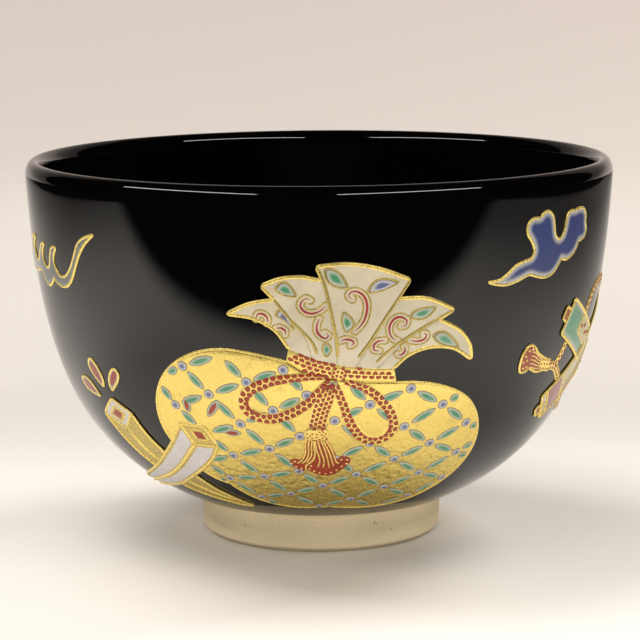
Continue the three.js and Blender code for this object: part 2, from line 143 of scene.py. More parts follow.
def sizes():
    return bpy.context.scene.tea_bowl_sizes


def patch_top():
    """How far a patch of enamel stands over the glaze, in millimetres."""
    return sizes().patch_height / MM


# ---- The wall's curve and the sheet's place on it ----
def bezier(points, share):
    a, b, c, d = (np.array(p) for p in points)
    t = np.atleast_1d(share)[:, None]
    return a * (1 - t) ** 3 + 3 * b * t * (1 - t) ** 2 + 3 * c * t**2 * (1 - t) + d * t**3


def between(start, end, across, up):
    return (start[0] + (end[0] - start[0]) * across, start[1] + (end[1] - start[1]) * up)


GLAZE_LINE = (GLAZE_LINE_RADIUS, GLAZE_LINE_HEIGHT)
WIDEST = (BOWL_RADIUS, WIDEST_HEIGHT)
WALL = (
    GLAZE_LINE,
    between(GLAZE_LINE, WIDEST, 0.675, 0.155),
    between(GLAZE_LINE, WIDEST, 0.931, 0.398),
    WIDEST,
)
INSIDE_RADIUS = BOWL_RADIUS - LIP_THICKNESS
FLOOR_CENTRE = (0.0, FLOOR_TOP)
INSIDE_TOP = (INSIDE_RADIUS, WIDEST_HEIGHT)
INSIDE = (
    FLOOR_CENTRE,
    (INSIDE_RADIUS * 0.76, FLOOR_TOP),
    between(FLOOR_CENTRE, INSIDE_TOP, 0.968, 0.32),
    INSIDE_TOP,
)


def unit(vectors):
    """The same directions, each of length one."""
    return vectors / np.linalg.norm(vectors, axis=1)[:, None]


def wall_chart(steps=3001):
    """The wall at even steps, from the glaze line up: place, slope, and v on the sheet.

    A step counts for its length over its radius, so a drawing keeps its shape on the bowl.
    """
    line = bezier(WALL, np.linspace(0.0, 1.0, steps))
    climb = np.linalg.norm(np.diff(line, axis=0), axis=1) / ((line[1:, 0] + line[:-1, 0]) / 2)
    latitude = np.concatenate([[0.0], np.cumsum(climb)])
    return line, unit(np.gradient(line, axis=0)), SHEET_HEIGHT * (latitude / latitude[-1] - 1.0)


WALL_LINE, WALL_SLOPE, WALL_V = wall_chart()


def on_wall(u, v, height):
    """Points over (u, v) of the sheet, at heights over the glaze, in metres."""
    r, z = (np.interp(v, WALL_V, WALL_LINE[:, k]) for k in (0, 1))
    down, out = (np.interp(v, WALL_V, WALL_SLOPE[:, k]) for k in (0, 1))
    r = r + out * height
    z = z - down * height
    angle = u / SHEET_WIDTH * 2 * math.pi
    return np.stack([r * np.sin(angle), -r * np.cos(angle), z], axis=-1) * MM


def true_width(v):
    """How much wider a line is drawn at v, so that it has its own width on the bowl."""
    return BOWL_RADIUS / np.interp(v, WALL_V, WALL_LINE[:, 0])


# ---- Drawing on the sheet ----
TINY = 1e-6  # keeps a division by a length from failing
LENS_SHARPNESS = 1.35  # how pointed a leaf's two ends are
LEAF_CORE_LENGTH = 0.72  # length of a leaf's dark core, as a share of the leaf
SHORTEST_LEAF = 1.6
POINT_WIDTH = 0.12  # how wide a line is at its point, as a share of its full width
CLEAR_SHARE = 0.93  # points of a moved line are dropped when they come nearer than this share


def smooth(points, step=0.6):
    """An even chain of points on a smooth curve through the given ones; two make a straight."""
    p = np.array(points, dtype=float)
    if len(p) == 2:
        count = max(1, int(math.ceil(np.linalg.norm(p[1] - p[0]) / step)))
        return p[0] + (p[1] - p[0]) * np.linspace(0, 1, count + 1)[:, None]
    p = np.vstack([2 * p[0] - p[1], p, 2 * p[-1] - p[-2]])
    out = []
    for a, b, c, d in zip(p[:-3], p[1:-2], p[2:-1], p[3:]):
        lengths = [np.linalg.norm(b - a), np.linalg.norm(c - b), np.linalg.norm(d - c)]
        before, here, after = np.sqrt(np.maximum(lengths, TINY))
        start = (c - b) / here - (c - a) / (before + here) + (b - a) / before
        end = (d - c) / after - (d - b) / (here + after) + (c - b) / here
        start, end = start * here, end * here
        count = max(2, int(math.ceil(np.linalg.norm(c - b) / step)))
        t = np.arange(count)[:, None] / count
        out.append(
            b * (2 * t**3 - 3 * t**2 + 1)
            + start * (t**3 - 2 * t**2 + t)
            + c * (-2 * t**3 + 3 * t**2)
            + end * (t**3 - t**2)
        )
    out.append(p[-2][None])
    return np.vstack(out)


def outline(runs, step=0.6):
    """A closed outline: each run is smooth, and runs meet at corners."""
    return np.vstack([smooth(run, step)[:-1] for run in runs])


def inward(line):
    """The sideways directions into a closed outline."""
    along = np.roll(line, -1, axis=0) - np.roll(line, 1, axis=0)
    along /= np.maximum(np.linalg.norm(along, axis=1), 1e-9)[:, None]
    side = np.stack([-along[:, 1], along[:, 0]], axis=1)
    return side if inside(line + side * 0.01, line).mean() > 0.5 else -side


def inset(runs, gap):
    """An outline drawn at a gap inside another."""
    line = outline(runs, 0.5)
    moved = line + inward(line) * gap
    return moved[inside(moved, line) & (distance_to(moved, line) > gap * 0.95)]


def chains(line, keep):
    """The stretches of a line whose points are kept."""
    breaks = np.flatnonzero(np.diff(keep.astype(int))) + 1
    parts = np.split(line, breaks)
    return [part for part, good in zip(parts, np.split(keep, breaks)) if good[0] and len(part) > 3]


def clear_of(points, *shapes):
    """A smooth line without the stretches that other shapes cover."""
    line = smooth(points, 0.4)
    keep = np.ones(len(line), bool)
    for shape in shapes:
        keep &= ~inside(line, shape)
    return chains(line, keep)


def beside(points, gap):
    """The lines at a gap on both sides of a line and round its ends."""
    line = smooth(points, 0.25)
    way = unit(np.gradient(line, axis=0))
    side = np.stack([-way[:, 1], way[:, 0]], axis=1) * gap
    round_end, round_start = line[-1] + half_turn(side[-1]), line[0] + half_turn(-side[0])
    ring = np.vstack([line + side, round_end, (line - side)[::-1], round_start])
    return chains(ring, distance_to(ring, line, False) > gap * CLEAR_SHARE)


def half_turn(start, steps=9):
    """A half circle clockwise about the origin from a point."""
    turn = -np.linspace(0, math.pi, steps)[:, None]
    return start * np.cos(turn) + np.array([-start[1], start[0]]) * np.sin(turn)


def distance_to(points, line, closed=True):
    """How far each point is from a chain of points."""
    start = line if closed else line[:-1]
    end = np.roll(line, -1, axis=0) if closed else line[1:]
    span = end - start
    length = np.maximum((span**2).sum(1), 1e-12)
    best = np.full(len(points), np.inf)
    for i in range(0, len(points), 2000):
        part = points[i : i + 2000, None, :] - start[None]
        share = np.clip((part * span[None]).sum(2) / length[None], 0, 1)
        gap = np.linalg.norm(part - span[None] * share[..., None], axis=2)
        best[i : i + 2000] = gap.min(1)
    return best


def inside(points, line):
    """Which points a closed chain goes round."""
    start, end = line, np.roll(line, -1, axis=0)
    x, y = points[:, 0][:, None], points[:, 1][:, None]
    crosses = (start[:, 1] > y) != (end[:, 1] > y)
    rise = np.where(end[:, 1] == start[:, 1], 1e-9, end[:, 1] - start[:, 1])
    at = start[:, 0] + (y - start[:, 1]) * (end[:, 0] - start[:, 0]) / rise
    return (crosses & (x < at)).sum(1) % 2 == 1


def within(start, end, line, clear, avoid):
    """The part of a straight that lies in an outline, clear of its edge and of other outlines."""
    share = np.linspace(0, 1, 41)[:, None]
    points = np.array(start) * (1 - share) + np.array(end) * share
    good = inside(points, line) & (distance_to(points, line) > clear)
    for other in avoid:
        good &= ~inside(points, other)
    kept = points[good]
    if len(kept) < 2 or np.linalg.norm(kept[-1] - kept[0]) < SHORTEST_LEAF:
        return None
    return tuple(kept[0]), tuple(kept[-1])


def way_along(line):
    """How far each point of a chain is along it."""
    return np.concatenate([[0], np.cumsum(np.linalg.norm(np.diff(line, axis=0), axis=1))])


def about_centre(points, share):
    """A shape drawn at a share of its size about its own middle."""
    middle = np.mean(points, axis=0)
    return middle + (points - middle) * share


def ellipse(centre, long, wide, angle=0.0, count=12, pointed=False):
    """Points round an ellipse, or round a lens with points at its two ends."""
    turn = np.arange(count) / count * 2 * math.pi
    x, y = np.cos(turn) * long / 2, np.sin(turn) * wide / 2
    if pointed:
        y = np.sign(y) * (np.abs(np.sin(turn)) ** LENS_SHARPNESS) * wide / 2
    along = np.array([math.cos(angle), math.sin(angle)])
    across = np.array([-along[1], along[0]])
    return np.array(centre) + x[:, None] * along + y[:, None] * across


def leaf(start, end, wide, core=0.5):
    """A lens-shaped leaf between two points, and its darker core."""
    start, end = np.array(start, float), np.array(end, float)
    centre, span = (start + end) / 2, end - start
    angle, long = math.atan2(span[1], span[0]), np.linalg.norm(span)
    core_size = long * LEAF_CORE_LENGTH, wide * core
    return tuple(ellipse(centre, *size, angle, 12, True) for size in ((long, wide), core_size))


def petal(corners, share):
    """A leaf from its base, a side, its tip and the other side, drawn at a share of its size."""
    base, left, tip, right = corners
    line = np.vstack([bowed(base, left, tip)[:-1], bowed(tip, right, base)[:-1]])
    return about_centre(line, share)


def bowed(start, middle, end, steps=10):
    """An even bow from start to end through a middle point."""
    start, middle, end = (np.array(point, float) for point in (start, middle, end))
    pull = 2 * middle - (start + end) / 2
    t = np.linspace(0, 1, steps + 1)[:, None]
    return start * (1 - t) ** 2 + 2 * pull * t * (1 - t) + end * t**2


def dot(centre, radius, core, count):
    """A round dot, and its core at a share of its size."""
    return tuple(ellipse(centre, wide, wide, 0, count) for wide in (radius * 2, radius * 2 * core))


def quad_runs(corners):
    """The straight sides of a closed shape."""
    return [[corners[i], corners[(i + 1) % len(corners)]] for i in range(len(corners))]


def shrunk(corners, share, shift):
    """The corners drawn at a share of their size about their middle, and then shifted."""
    return about_centre(np.array(corners), share) + np.array(shift)


def placed(start, angle, point):
    """A place given along and across an axis that starts at a point and runs at an angle."""
    x, y = point
    return (
        start[0] + x * math.cos(angle) - y * math.sin(angle),
        start[1] + x * math.sin(angle) + y * math.cos(angle),
    )


def bar(start, angle, near, far, width, across=0.0):
    """The corners of a straight bar along an axis, from near to far."""
    along = np.array([math.cos(angle), math.sin(angle)])
    side = np.array([-along[1], along[0]])
    middle = np.array(start) + side * across
    edge = side * width / 2
    low, high = middle + along * near, middle + along * far
    return [low - edge, high - edge, high + edge, low + edge]


def stroke(points, width, ends="round"):
    """A painted line: its points and its half widths, drawn to a point or rounded at its ends."""
    line = smooth(points, 0.5)
    half, run = np.full(len(line), width / 2), way_along(line)
    first, last = (ends, ends) if isinstance(ends, str) else ends
    for end, gap in ((first, run), (last, run[-1] - run)):
        if end == "point":
            reach = min(run[-1] * 0.45, width * 9)
            half *= POINT_WIDTH + (1 - POINT_WIDTH) * np.clip(gap / reach, 0, 1) ** 0.7
        else:
            half *= np.sqrt(np.clip(1 - (1 - np.clip(gap / (width / 2), 0, 1)) ** 2, 0.06, 1))
    return line, half


def outline_strokes(runs, width=None, ends="round"):
    """A painted line along each run, as wide as the user's outlines unless a width is given."""
    return [stroke(run, width or sizes().outline_width / MM, ends) for run in runs]


# ---- Making pieces from the drawings ----
def deselect_all():
    if bpy.context.object and bpy.context.object.mode != "OBJECT":
        bpy.ops.object.mode_set(mode="OBJECT")
    bpy.ops.object.select_all(action="DESELECT")


def new_object(name, data):
    piece = bpy.data.objects.new(name, data)
    bpy.context.collection.objects.link(piece)
    select_only(piece)
    return piece


def mesh_object(name, points, faces, attributes=None):
    mesh = bpy.data.meshes.new(name)
    mesh.from_pydata([tuple(p) for p in points], [], faces)
    for key, values in (attributes or {}).items():
        layer = mesh.attributes.new(key, "FLOAT", "POINT")
        layer.data.foreach_set("value", np.asarray(values, dtype=np.float32))
    mesh.update()
    return new_object(name, mesh)


def select_only(piece):
    deselect_all()
    piece.select_set(True)
    bpy.context.view_layer.objects.active = piece


def apply_modifier(piece, kind, **settings):
    select_only(piece)
    modifier = piece.modifiers.new(kind.title(), kind)
    for key, value in settings.items():
        setattr(modifier, key, value)
    bpy.ops.object.modifier_apply(modifier=modifier.name)


def shade_smooth(piece, degrees=None):
    select_only(piece)
    if degrees is None:
        bpy.ops.object.shade_smooth()
    else:
        bpy.ops.object.shade_smooth_by_angle(angle=math.radians(degrees))


def close_up(threshold):
    """Merges the doubles of the active mesh, in edit mode, and turns its faces outwards."""
    bpy.ops.mesh.select_all(action="SELECT")
    bpy.ops.mesh.remove_doubles(threshold=threshold)
    bpy.ops.mesh.normals_make_consistent(inside=False)
    bpy.ops.object.mode_set(mode="OBJECT")


def wrap(piece, lift=0.0, flatten=1.0):
    """Lays a drawing in the sheet's millimetres on the bowl's wall."""
    mesh = piece.data
    flat = np.empty(len(mesh.vertices) * 3)
    mesh.vertices.foreach_get("co", flat)
    flat = flat.reshape(-1, 3)
    placed = on_wall(flat[:, 0], flat[:, 1], lift + flat[:, 2] * flatten)
    mesh.vertices.foreach_set("co", placed.ravel())
    mesh.update()


def dress(piece, finish, slot, *replaced):
    """Gives a piece its finish and body, and hides the CAD nodes that it stands for. The slot is not
    used.
    """
    piece.data.materials.clear()
    piece.data.materials.append(FINISHES[finish])
    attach(piece, "root")
    if replaced:
        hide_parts(*replaced)


ROUNDING = 0.4  # width of a patch's rounded edge
INNER_RING = 0.13  # how far inside a patch's edge its first ring of points lies
ROW_STEP = 0.866  # distance between a patch's rows of points, as a share of the points' own
SINK = 0.25  # how deep an enamel's underside lies in the glaze
OVER_PATCH = 0.2  # where a second layer of enamel starts, just under the top of the first


def patch(name, runs, finish, replaced=(), height=None, spacing=1.0, lift=0.0, slot=None):
    """A raised patch of enamel in the shape of its runs, with rounded edges."""
    height = height or patch_top()
    line = runs if isinstance(runs, np.ndarray) else outline(runs, min(spacing, 0.6))
    rings, normal = [line], inward(line)
    for depth in (INNER_RING, ROUNDING):
        ring = line + normal * depth
        near = distance_to(ring, line)
        rings.append(ring[(near > depth * CLEAR_SHARE) & inside(ring, line)])
    low, high = line.min(0), line.max(0)
    us = np.arange(low[0], high[0], spacing)
    vs = np.arange(low[1], high[1], spacing * ROW_STEP)
    grid = np.array([(u + (i % 2) * spacing / 2, v) for i, v in enumerate(vs) for u in us])
    grid = grid[inside(grid, line)]
    grid = grid[distance_to(grid, line) > ROUNDING + spacing * 0.45]
    flat = np.vstack(rings + [grid])
    rim = [list(range(len(line)))]
    points, _, faces, *_ = delaunay_2d_cdt([Vector(p) for p in flat], [], rim, 1, 1e-5)
    points = np.array([tuple(p) for p in points])
    edge = distance_to(points, line)
    share = np.clip(edge / ROUNDING, 0, 1)
    rise = height * np.sqrt(np.clip(1 - (1 - share) ** 2, 0, 1))
    piece = mesh_object(name, np.column_stack([points, rise]), faces, {"edge": edge})
    wrap(piece, lift)
    face_outwards(piece.data)
    apply_modifier(piece, "SOLIDIFY", thickness=SINK * MM, offset=-1.0)
    shade_smooth(piece, 60)
    dress(piece, finish, slot or SLOTS[finish], *replaced)


def overlay(name, runs, finish, height=0.12, lift=OVER_PATCH, spacing=0.6):
    """A thin second layer of enamel on a patch."""
    patch(name, runs, finish, (), height, spacing, lift)


def face_outwards(mesh):
    """Turns an open sheet's faces away from the middle of the bowl's mouth."""
    mouth = Vector((0, 0, 0.08))
    if sum(p.normal.dot(p.center - mouth) for p in mesh.polygons) < 0:
        mesh.flip_normals()
    mesh.update()


def strokes(name, lines, lift, finish="gold_line", flatness=None, sides=2, replaced=()):
    """A piece of painted lines, each with a low round section."""
    flatness = flatness or sizes().line_flatness
    curve = bpy.data.curves.new(name, "CURVE")
    curve.dimensions = "3D"
    curve.twist_mode = "Z_UP"
    curve.bevel_depth = 1.0
    curve.bevel_resolution = sides
    curve.use_fill_caps = True
    for line, half in lines:
        spline = curve.splines.new("POLY")
        spline.points.add(len(line) - 1)
        wide = half * true_width(line[:, 1])
        for point, (u, v), radius in zip(spline.points, line, wide):
            point.co = (u, v, 0.0, 1.0)
            point.radius = radius
    new_object(name, curve)
    bpy.ops.object.convert(target="MESH")
    piece = bpy.context.object
    wrap(piece, lift, flatness * 2)
    clean_up(piece)
    shade_smooth(piece, 50)
    dress(piece, finish, SLOTS[finish], *replaced)


def clean_up(piece):
    select_only(piece)
    bpy.ops.object.mode_set(mode="EDIT")
    close_up(2e-6)


def beads(name, shapes, finish, height, lift, rings=5):
    """Many small domes. A shape is an outline and an inner outline with as many points.

    The lift is a height, or a function that gives it for places on the sheet.
    """
    points, faces, edge = [], [], []
    for outer, inner in shapes:
        outer, inner = np.array(outer), np.array(inner)
        count, first = len(outer), len(points)
        centre = inner.mean(0)
        levels = np.linspace(0, 1, rings + 1)[:-1]
        points += [(u, v, -SINK) for u, v in outer]
        edge += [0.0] * count
        for level in levels:
            if level < 0.5:
                ring = outer + (inner - outer) * level * 2
            else:
                ring = inner + (centre - inner) * (level - 0.5) * 2
            rise = height * math.sqrt(1 - (1 - level) ** 2)
            points += [(u, v, rise) for u, v in ring]
            edge += [level] * count
        points.append((*centre, height))
        edge.append(1.0)
        for ring in range(rings):
            a, b = first + ring * count, first + (ring + 1) * count
            ahead = [(i + 1) % count for i in range(count)]
            faces += [(a + i, a + j, b + j, b + i) for i, j in enumerate(ahead)]
        top, last = first + (rings + 1) * count, first + rings * count
        faces += [(last + i, last + (i + 1) % count, top) for i in range(count)]
        faces.append(tuple(first + i for i in reversed(range(count))))
    points = np.array(points)
    points[:, 2] += lift(points[:, :2]) if callable(lift) else lift
    piece = mesh_object(name, points, faces, {"edge": edge})
    wrap(piece)
    clean_up(piece)
    shade_smooth(piece, 70)
    dress(piece, finish, SLOTS[finish])


def fine_dots(name, places, radius, finish, height, lift, count=8):
    """Small round dots, all of one size."""
    beads(name, [dot(place, radius, 0.6, count) for place in places], finish, height, lift, rings=3)


# ---- Shader groups and materials ----
IRON_SPECK = (0.22, 0.13, 0.07)
GREY_CRACK = (0.42, 0.40, 0.42)
BROWN_RIM = (0.16, 0.10, 0.04)
GREY_EDGE = (0.46, 0.45, 0.45)
CLOUD_EDGE = (0.42, 0.42, 0.40)
PALE_CLOUD_EDGE = (0.20, 0.20, 0.16)

FINISHES = {}
# The material slots, and the enamel finishes that belong to each.
ENAMEL_SLOTS = {
    "gold_enamel": ("gold_leaf", "gold_line", "dull_gold", "matt_gold", "yellow"),
    "ivory_enamel": ("ivory",),
    "red_enamel": ("red", "red_halo", "crimson", "rose"),
    "green_enamel": ("green", "brocade"),
    "blue_enamel": ("blue", "cloud_blue"),
    "pale_green_enamel": ("cloud_pale",),
    "white_enamel": ("white",),
}
SLOTS = {finish: slot for slot, finishes in ENAMEL_SLOTS.items() for finish in finishes}


def node_group(name, inputs, outputs):
    group = bpy.data.node_groups.new(name, "ShaderNodeTree")
    for key, kind, default in inputs:
        socket = group.interface.new_socket(key, in_out="INPUT", socket_type=kind)
        if default is not None:
            socket.default_value = default
    for key, kind in outputs:
        group.interface.new_socket(key, in_out="OUTPUT", socket_type=kind)
    return group, group.nodes.new("NodeGroupInput"), group.nodes.new("NodeGroupOutput")


def noise_node(tree, vector, scale, detail=3.0, roughness=0.5):
    texture = tree.nodes.new("ShaderNodeTexNoise")
    texture.inputs["Detail"].default_value = detail
    texture.inputs["Roughness"].default_value = roughness
    tree.links.new(vector, texture.inputs["Vector"])
    if isinstance(scale, (int, float)):
        texture.inputs["Scale"].default_value = scale
    else:
        tree.links.new(scale, texture.inputs["Scale"])
    return texture.outputs["Fac"]


def math_node(tree, operation, a, b=None):
    node = tree.nodes.new("ShaderNodeMath")
    node.operation = operation
    for i, value in enumerate((a, b)):
        if value is None:
            continue
        if isinstance(value, (int, float)):
            node.inputs[i].default_value = value
        else:
            tree.links.new(value, node.inputs[i])
    return node.outputs[0]


def ramp_node(tree, factor, low, high, out_low=0.0, out_high=1.0):
    """Goes smoothly from one value to another while a factor goes from low to high."""
    node = tree.nodes.new("ShaderNodeMapRange")
    node.interpolation_type = "SMOOTHSTEP"
    tree.links.new(factor, node.inputs["Value"])
    limits = {"From Min": low, "From Max": high, "To Min": out_low, "To Max": out_high}
    for key, value in limits.items():
        node.inputs[key].default_value = value
    return node.outputs["Result"]


def mix_node(tree, factor, a, b, blend="MIX"):
    node = tree.nodes.new("ShaderNodeMix")
    node.data_type = "RGBA"
    node.blend_type = blend
    if isinstance(factor, (int, float)):
        node.inputs["Factor"].default_value = factor
    else:
        tree.links.new(factor, node.inputs["Factor"])
    for i, value in ((6, a), (7, b)):  # the two colours among the Mix node's sockets
        if hasattr(value, "is_output"):
            tree.links.new(value, node.inputs[i])
        else:
            node.inputs[i].default_value = (*value, 1.0)
    return node.outputs[2]


def bump_node(tree, height, strength, distance, normal=None):
    node = tree.nodes.new("ShaderNodeBump")
    node.inputs["Distance"].default_value = distance
    if isinstance(strength, (int, float)):
        node.inputs["Strength"].default_value = strength
    else:
        tree.links.new(strength, node.inputs["Strength"])
    for key, value in (("Height", height), ("Normal", normal)):
        if value is not None:
            tree.links.new(value, node.inputs[key])
    return node.outputs["Normal"]


def object_coords(tree):
    return tree.nodes.new("ShaderNodeTexCoord").outputs["Object"]


def fired_surface_group():
    """What firing leaves: a slow drift of tone, a fine grain, and a dimpled surface."""
    group, given, result = node_group(
        "Fired surface",
        [
            ("Drift Scale", "NodeSocketFloat", 120.0),
            ("Grain Scale", "NodeSocketFloat", 1200.0),
            ("Dimple", "NodeSocketFloat", 0.1),
        ],
        [
            ("Drift", "NodeSocketFloat"),
            ("Grain", "NodeSocketFloat"),
            ("Normal", "NodeSocketVector"),
        ],
    )
    coords = object_coords(group)
    drift = noise_node(group, coords, given.outputs["Drift Scale"], detail=3.0)
    grain = noise_node(group, coords, given.outputs["Grain Scale"], detail=2.0, roughness=0.6)
    normal = bump_node(group, grain, given.outputs["Dimple"], 0.0002)
    for key, value in (("Drift", drift), ("Grain", grain), ("Normal", normal)):
        group.links.new(value, result.inputs[key])
    return group


def beaten_gold_group():
    """Leaf laid over rough enamel: fine folds that catch the light, and thin brown places."""
    group, given, result = node_group(
        "Beaten gold",
        [("Fold Scale", "NodeSocketFloat", 700.0), ("Relief", "NodeSocketFloat", 0.5)],
        [
            ("Thin", "NodeSocketFloat"),
            ("Roughness", "NodeSocketFloat"),
            ("Normal", "NodeSocketVector"),
        ],
    )
    coords = object_coords(group)
    noise = group.nodes.new("ShaderNodeTexNoise")
    noise.inputs["Scale"].default_value = 500.0
    group.links.new(coords, noise.inputs["Vector"])
    warp = group.nodes.new("ShaderNodeVectorMath")
    warp.operation = "MULTIPLY_ADD"
    group.links.new(noise.outputs["Color"], warp.inputs[0])
    warp.inputs[1].default_value = (0.0012, 0.0012, 0.0012)
    group.links.new(coords, warp.inputs[2])
    folds = group.nodes.new("ShaderNodeTexVoronoi")
    folds.feature = "SMOOTH_F1"
    group.links.new(given.outputs["Fold Scale"], folds.inputs["Scale"])
    group.links.new(warp.outputs[0], folds.inputs["Vector"])
    fine = noise_node(group, coords, 2600.0, 4.0, 0.65)
    height = math_node(group, "MULTIPLY", fine, 0.6)
    height = math_node(group, "ADD", folds.outputs["Distance"], height)
    # The gold is rougher low down on the bowl.
    up = group.nodes.new("ShaderNodeSeparateXYZ")
    group.links.new(coords, up.inputs[0])
    low_down = ramp_node(group, up.outputs["Z"], 0.014, 0.034, 4.5, 0.45)
    height = math_node(group, "MULTIPLY", height, low_down)
    normal = bump_node(group, height, given.outputs["Relief"], 0.00022)
    thin = ramp_node(group, noise_node(group, coords, 260.0, 5.0, 0.6), 0.56, 0.8)
    rough = ramp_node(group, fine, 0.3, 0.7, 0.22, 0.42)
    for key, value in (("Thin", thin), ("Roughness", rough), ("Normal", normal)):
        group.links.new(value, result.inputs[key])
    return group


def place_group(tree, group_tree, **values):
    """Puts a shader group in a material, with its own values, and gives back its outputs."""
    node = tree.nodes.new("ShaderNodeGroup")
    node.node_tree = group_tree
    for key, value in values.items():
        node.inputs[key.replace("_", " ").title()].default_value = value
    return node.outputs


def new_material(name, roughness=0.3, metallic=0.0, specular=0.5, coat=0.0):
    material = bpy.data.materials.new(name)
    material.use_nodes = True
    tree = material.node_tree
    shader = tree.nodes["Principled BSDF"]
    shader.inputs["Roughness"].default_value = roughness
    shader.inputs["Metallic"].default_value = metallic
    shader.inputs["Specular IOR Level"].default_value = specular
    shader.inputs["Coat Weight"].default_value = coat
    shader.inputs["Coat Roughness"].default_value = 0.08
    return material, tree, shader


def scaled(colour, factor):
    return tuple(c * factor for c in colour)


def black_glaze_material(surface, colours):
    material, tree, shader = new_material("black_iron_glaze", 0.05)
    marks = place_group(tree, surface, drift_scale=60.0, grain_scale=900.0, dimple=0.015)
    shader.inputs["Base Color"].default_value = (*colours.glaze, 1.0)
    shader.inputs["IOR"].default_value = 1.52
    rough = ramp_node(tree, marks["Drift"], 0.3, 0.7, 0.035, 0.07)
    tree.links.new(rough, shader.inputs["Roughness"])
    tree.links.new(marks["Normal"], shader.inputs["Normal"])
    return material


def bare_clay_material(surface, colours):
    material, tree, shader = new_material("bare_clay", 0.85, specular=0.25)
    marks = place_group(tree, surface, drift_scale=70.0, grain_scale=2200.0, dimple=0.1)
    coords = object_coords(tree)
    tone = mix_node(tree, marks["Drift"], scaled(colours.clay, 0.86), scaled(colours.clay, 1.1))
    grain = ramp_node(tree, marks["Grain"], 0.25, 0.75, 0.94, 1.03)
    tone = mix_node(tree, 1.0, tone, grey_colour(tree, grain), "MULTIPLY")
    specks = noise_node(tree, coords, 700.0, 1.0)
    tone = mix_node(tree, ramp_node(tree, specks, 0.74, 0.78), tone, IRON_SPECK)
    height = tree.nodes.new("ShaderNodeSeparateXYZ")
    tree.links.new(coords, height.inputs[0])
    # Darker within about a millimetre of the floor.
    near_floor = ramp_node(tree, height.outputs["Z"], 0.0004, 0.0012, 1.0, 0.0)
    tone = mix_node(tree, near_floor, tone, scaled(colours.clay, 0.62))
    rings = tree.nodes.new("ShaderNodeTexWave")
    rings.bands_direction = "Z"
    rings.inputs["Scale"].default_value = 180.0
    rings.inputs["Distortion"].default_value = 2.0
    tree.links.new(coords, rings.inputs["Vector"])
    normal = bump_node(tree, rings.outputs["Fac"], 0.12, 0.0002, marks["Normal"])
    tree.links.new(tone, shader.inputs["Base Color"])
    tree.links.new(normal, shader.inputs["Normal"])
    return material


def grey_colour(tree, value):
    node = tree.nodes.new("ShaderNodeCombineColor")
    for i in range(3):
        tree.links.new(value, node.inputs[i])
    return node.outputs[0]


def gold_material(name, beaten, colour, fold_scale, relief, thin_tone, metallic):
    """Fired gold, whose thin places show a darker tone."""
    material, tree, shader = new_material(name, 0.3, metallic)
    leaf_marks = place_group(tree, beaten, fold_scale=fold_scale, relief=relief)
    tone = mix_node(tree, leaf_marks["Thin"], colour, scaled(colour, thin_tone))
    tree.links.new(tone, shader.inputs["Base Color"])
    tree.links.new(leaf_marks["Roughness"], shader.inputs["Roughness"])
    tree.links.new(leaf_marks["Normal"], shader.inputs["Normal"])
    return material


def enamel_material(name, surface, colour, halo=None, start=0.0, end=0.0):
    """Glassy enamel. With a halo colour its edge is brown and then pale, between start and end."""
    material, tree, shader = new_material(name, 0.16, coat=0.3)
    marks = place_group(tree, surface, drift_scale=180.0, grain_scale=1500.0, dimple=0.12)
    tone = mix_node(tree, marks["Drift"], scaled(colour, 0.72), scaled(colour, 1.25))
    if halo is not None:
        edge = tree.nodes.new("ShaderNodeAttribute")
        edge.attribute_name = "edge"
        core = ramp_node(tree, edge.outputs["Fac"], start, end)
        tone = mix_node(tree, core, halo, tone)
        rim = ramp_node(tree, edge.outputs["Fac"], start * 0.1, start * 0.5)
        tone = mix_node(tree, rim, BROWN_RIM, tone)
    tree.links.new(tone, shader.inputs["Base Color"])
    tree.links.new(marks["Normal"], shader.inputs["Normal"])
    return material


def crackled_white_material(surface, colours):
    material, tree, shader = new_material("crackled_white", 0.3, coat=0.2)
    marks = place_group(tree, surface, drift_scale=300.0, grain_scale=1300.0, dimple=0.3)
    cells = tree.nodes.new("ShaderNodeTexVoronoi")
    cells.feature = "DISTANCE_TO_EDGE"
    cells.inputs["Scale"].default_value = 1700.0
    tree.links.new(object_coords(tree), cells.inputs["Vector"])
    crack = ramp_node(tree, cells.outputs["Distance"], 0.02, 0.16, 1.0, 0.0)
    grey = mix_node(tree, marks["Drift"], scaled(colours.white, 0.8), scaled(colours.white, 1.08))
    tone = mix_node(tree, math_node(tree, "MULTIPLY", crack, 0.4), grey, GREY_CRACK)
    tree.links.new(tone, shader.inputs["Base Color"])
    tree.links.new(marks["Normal"], shader.inputs["Normal"])
    return material


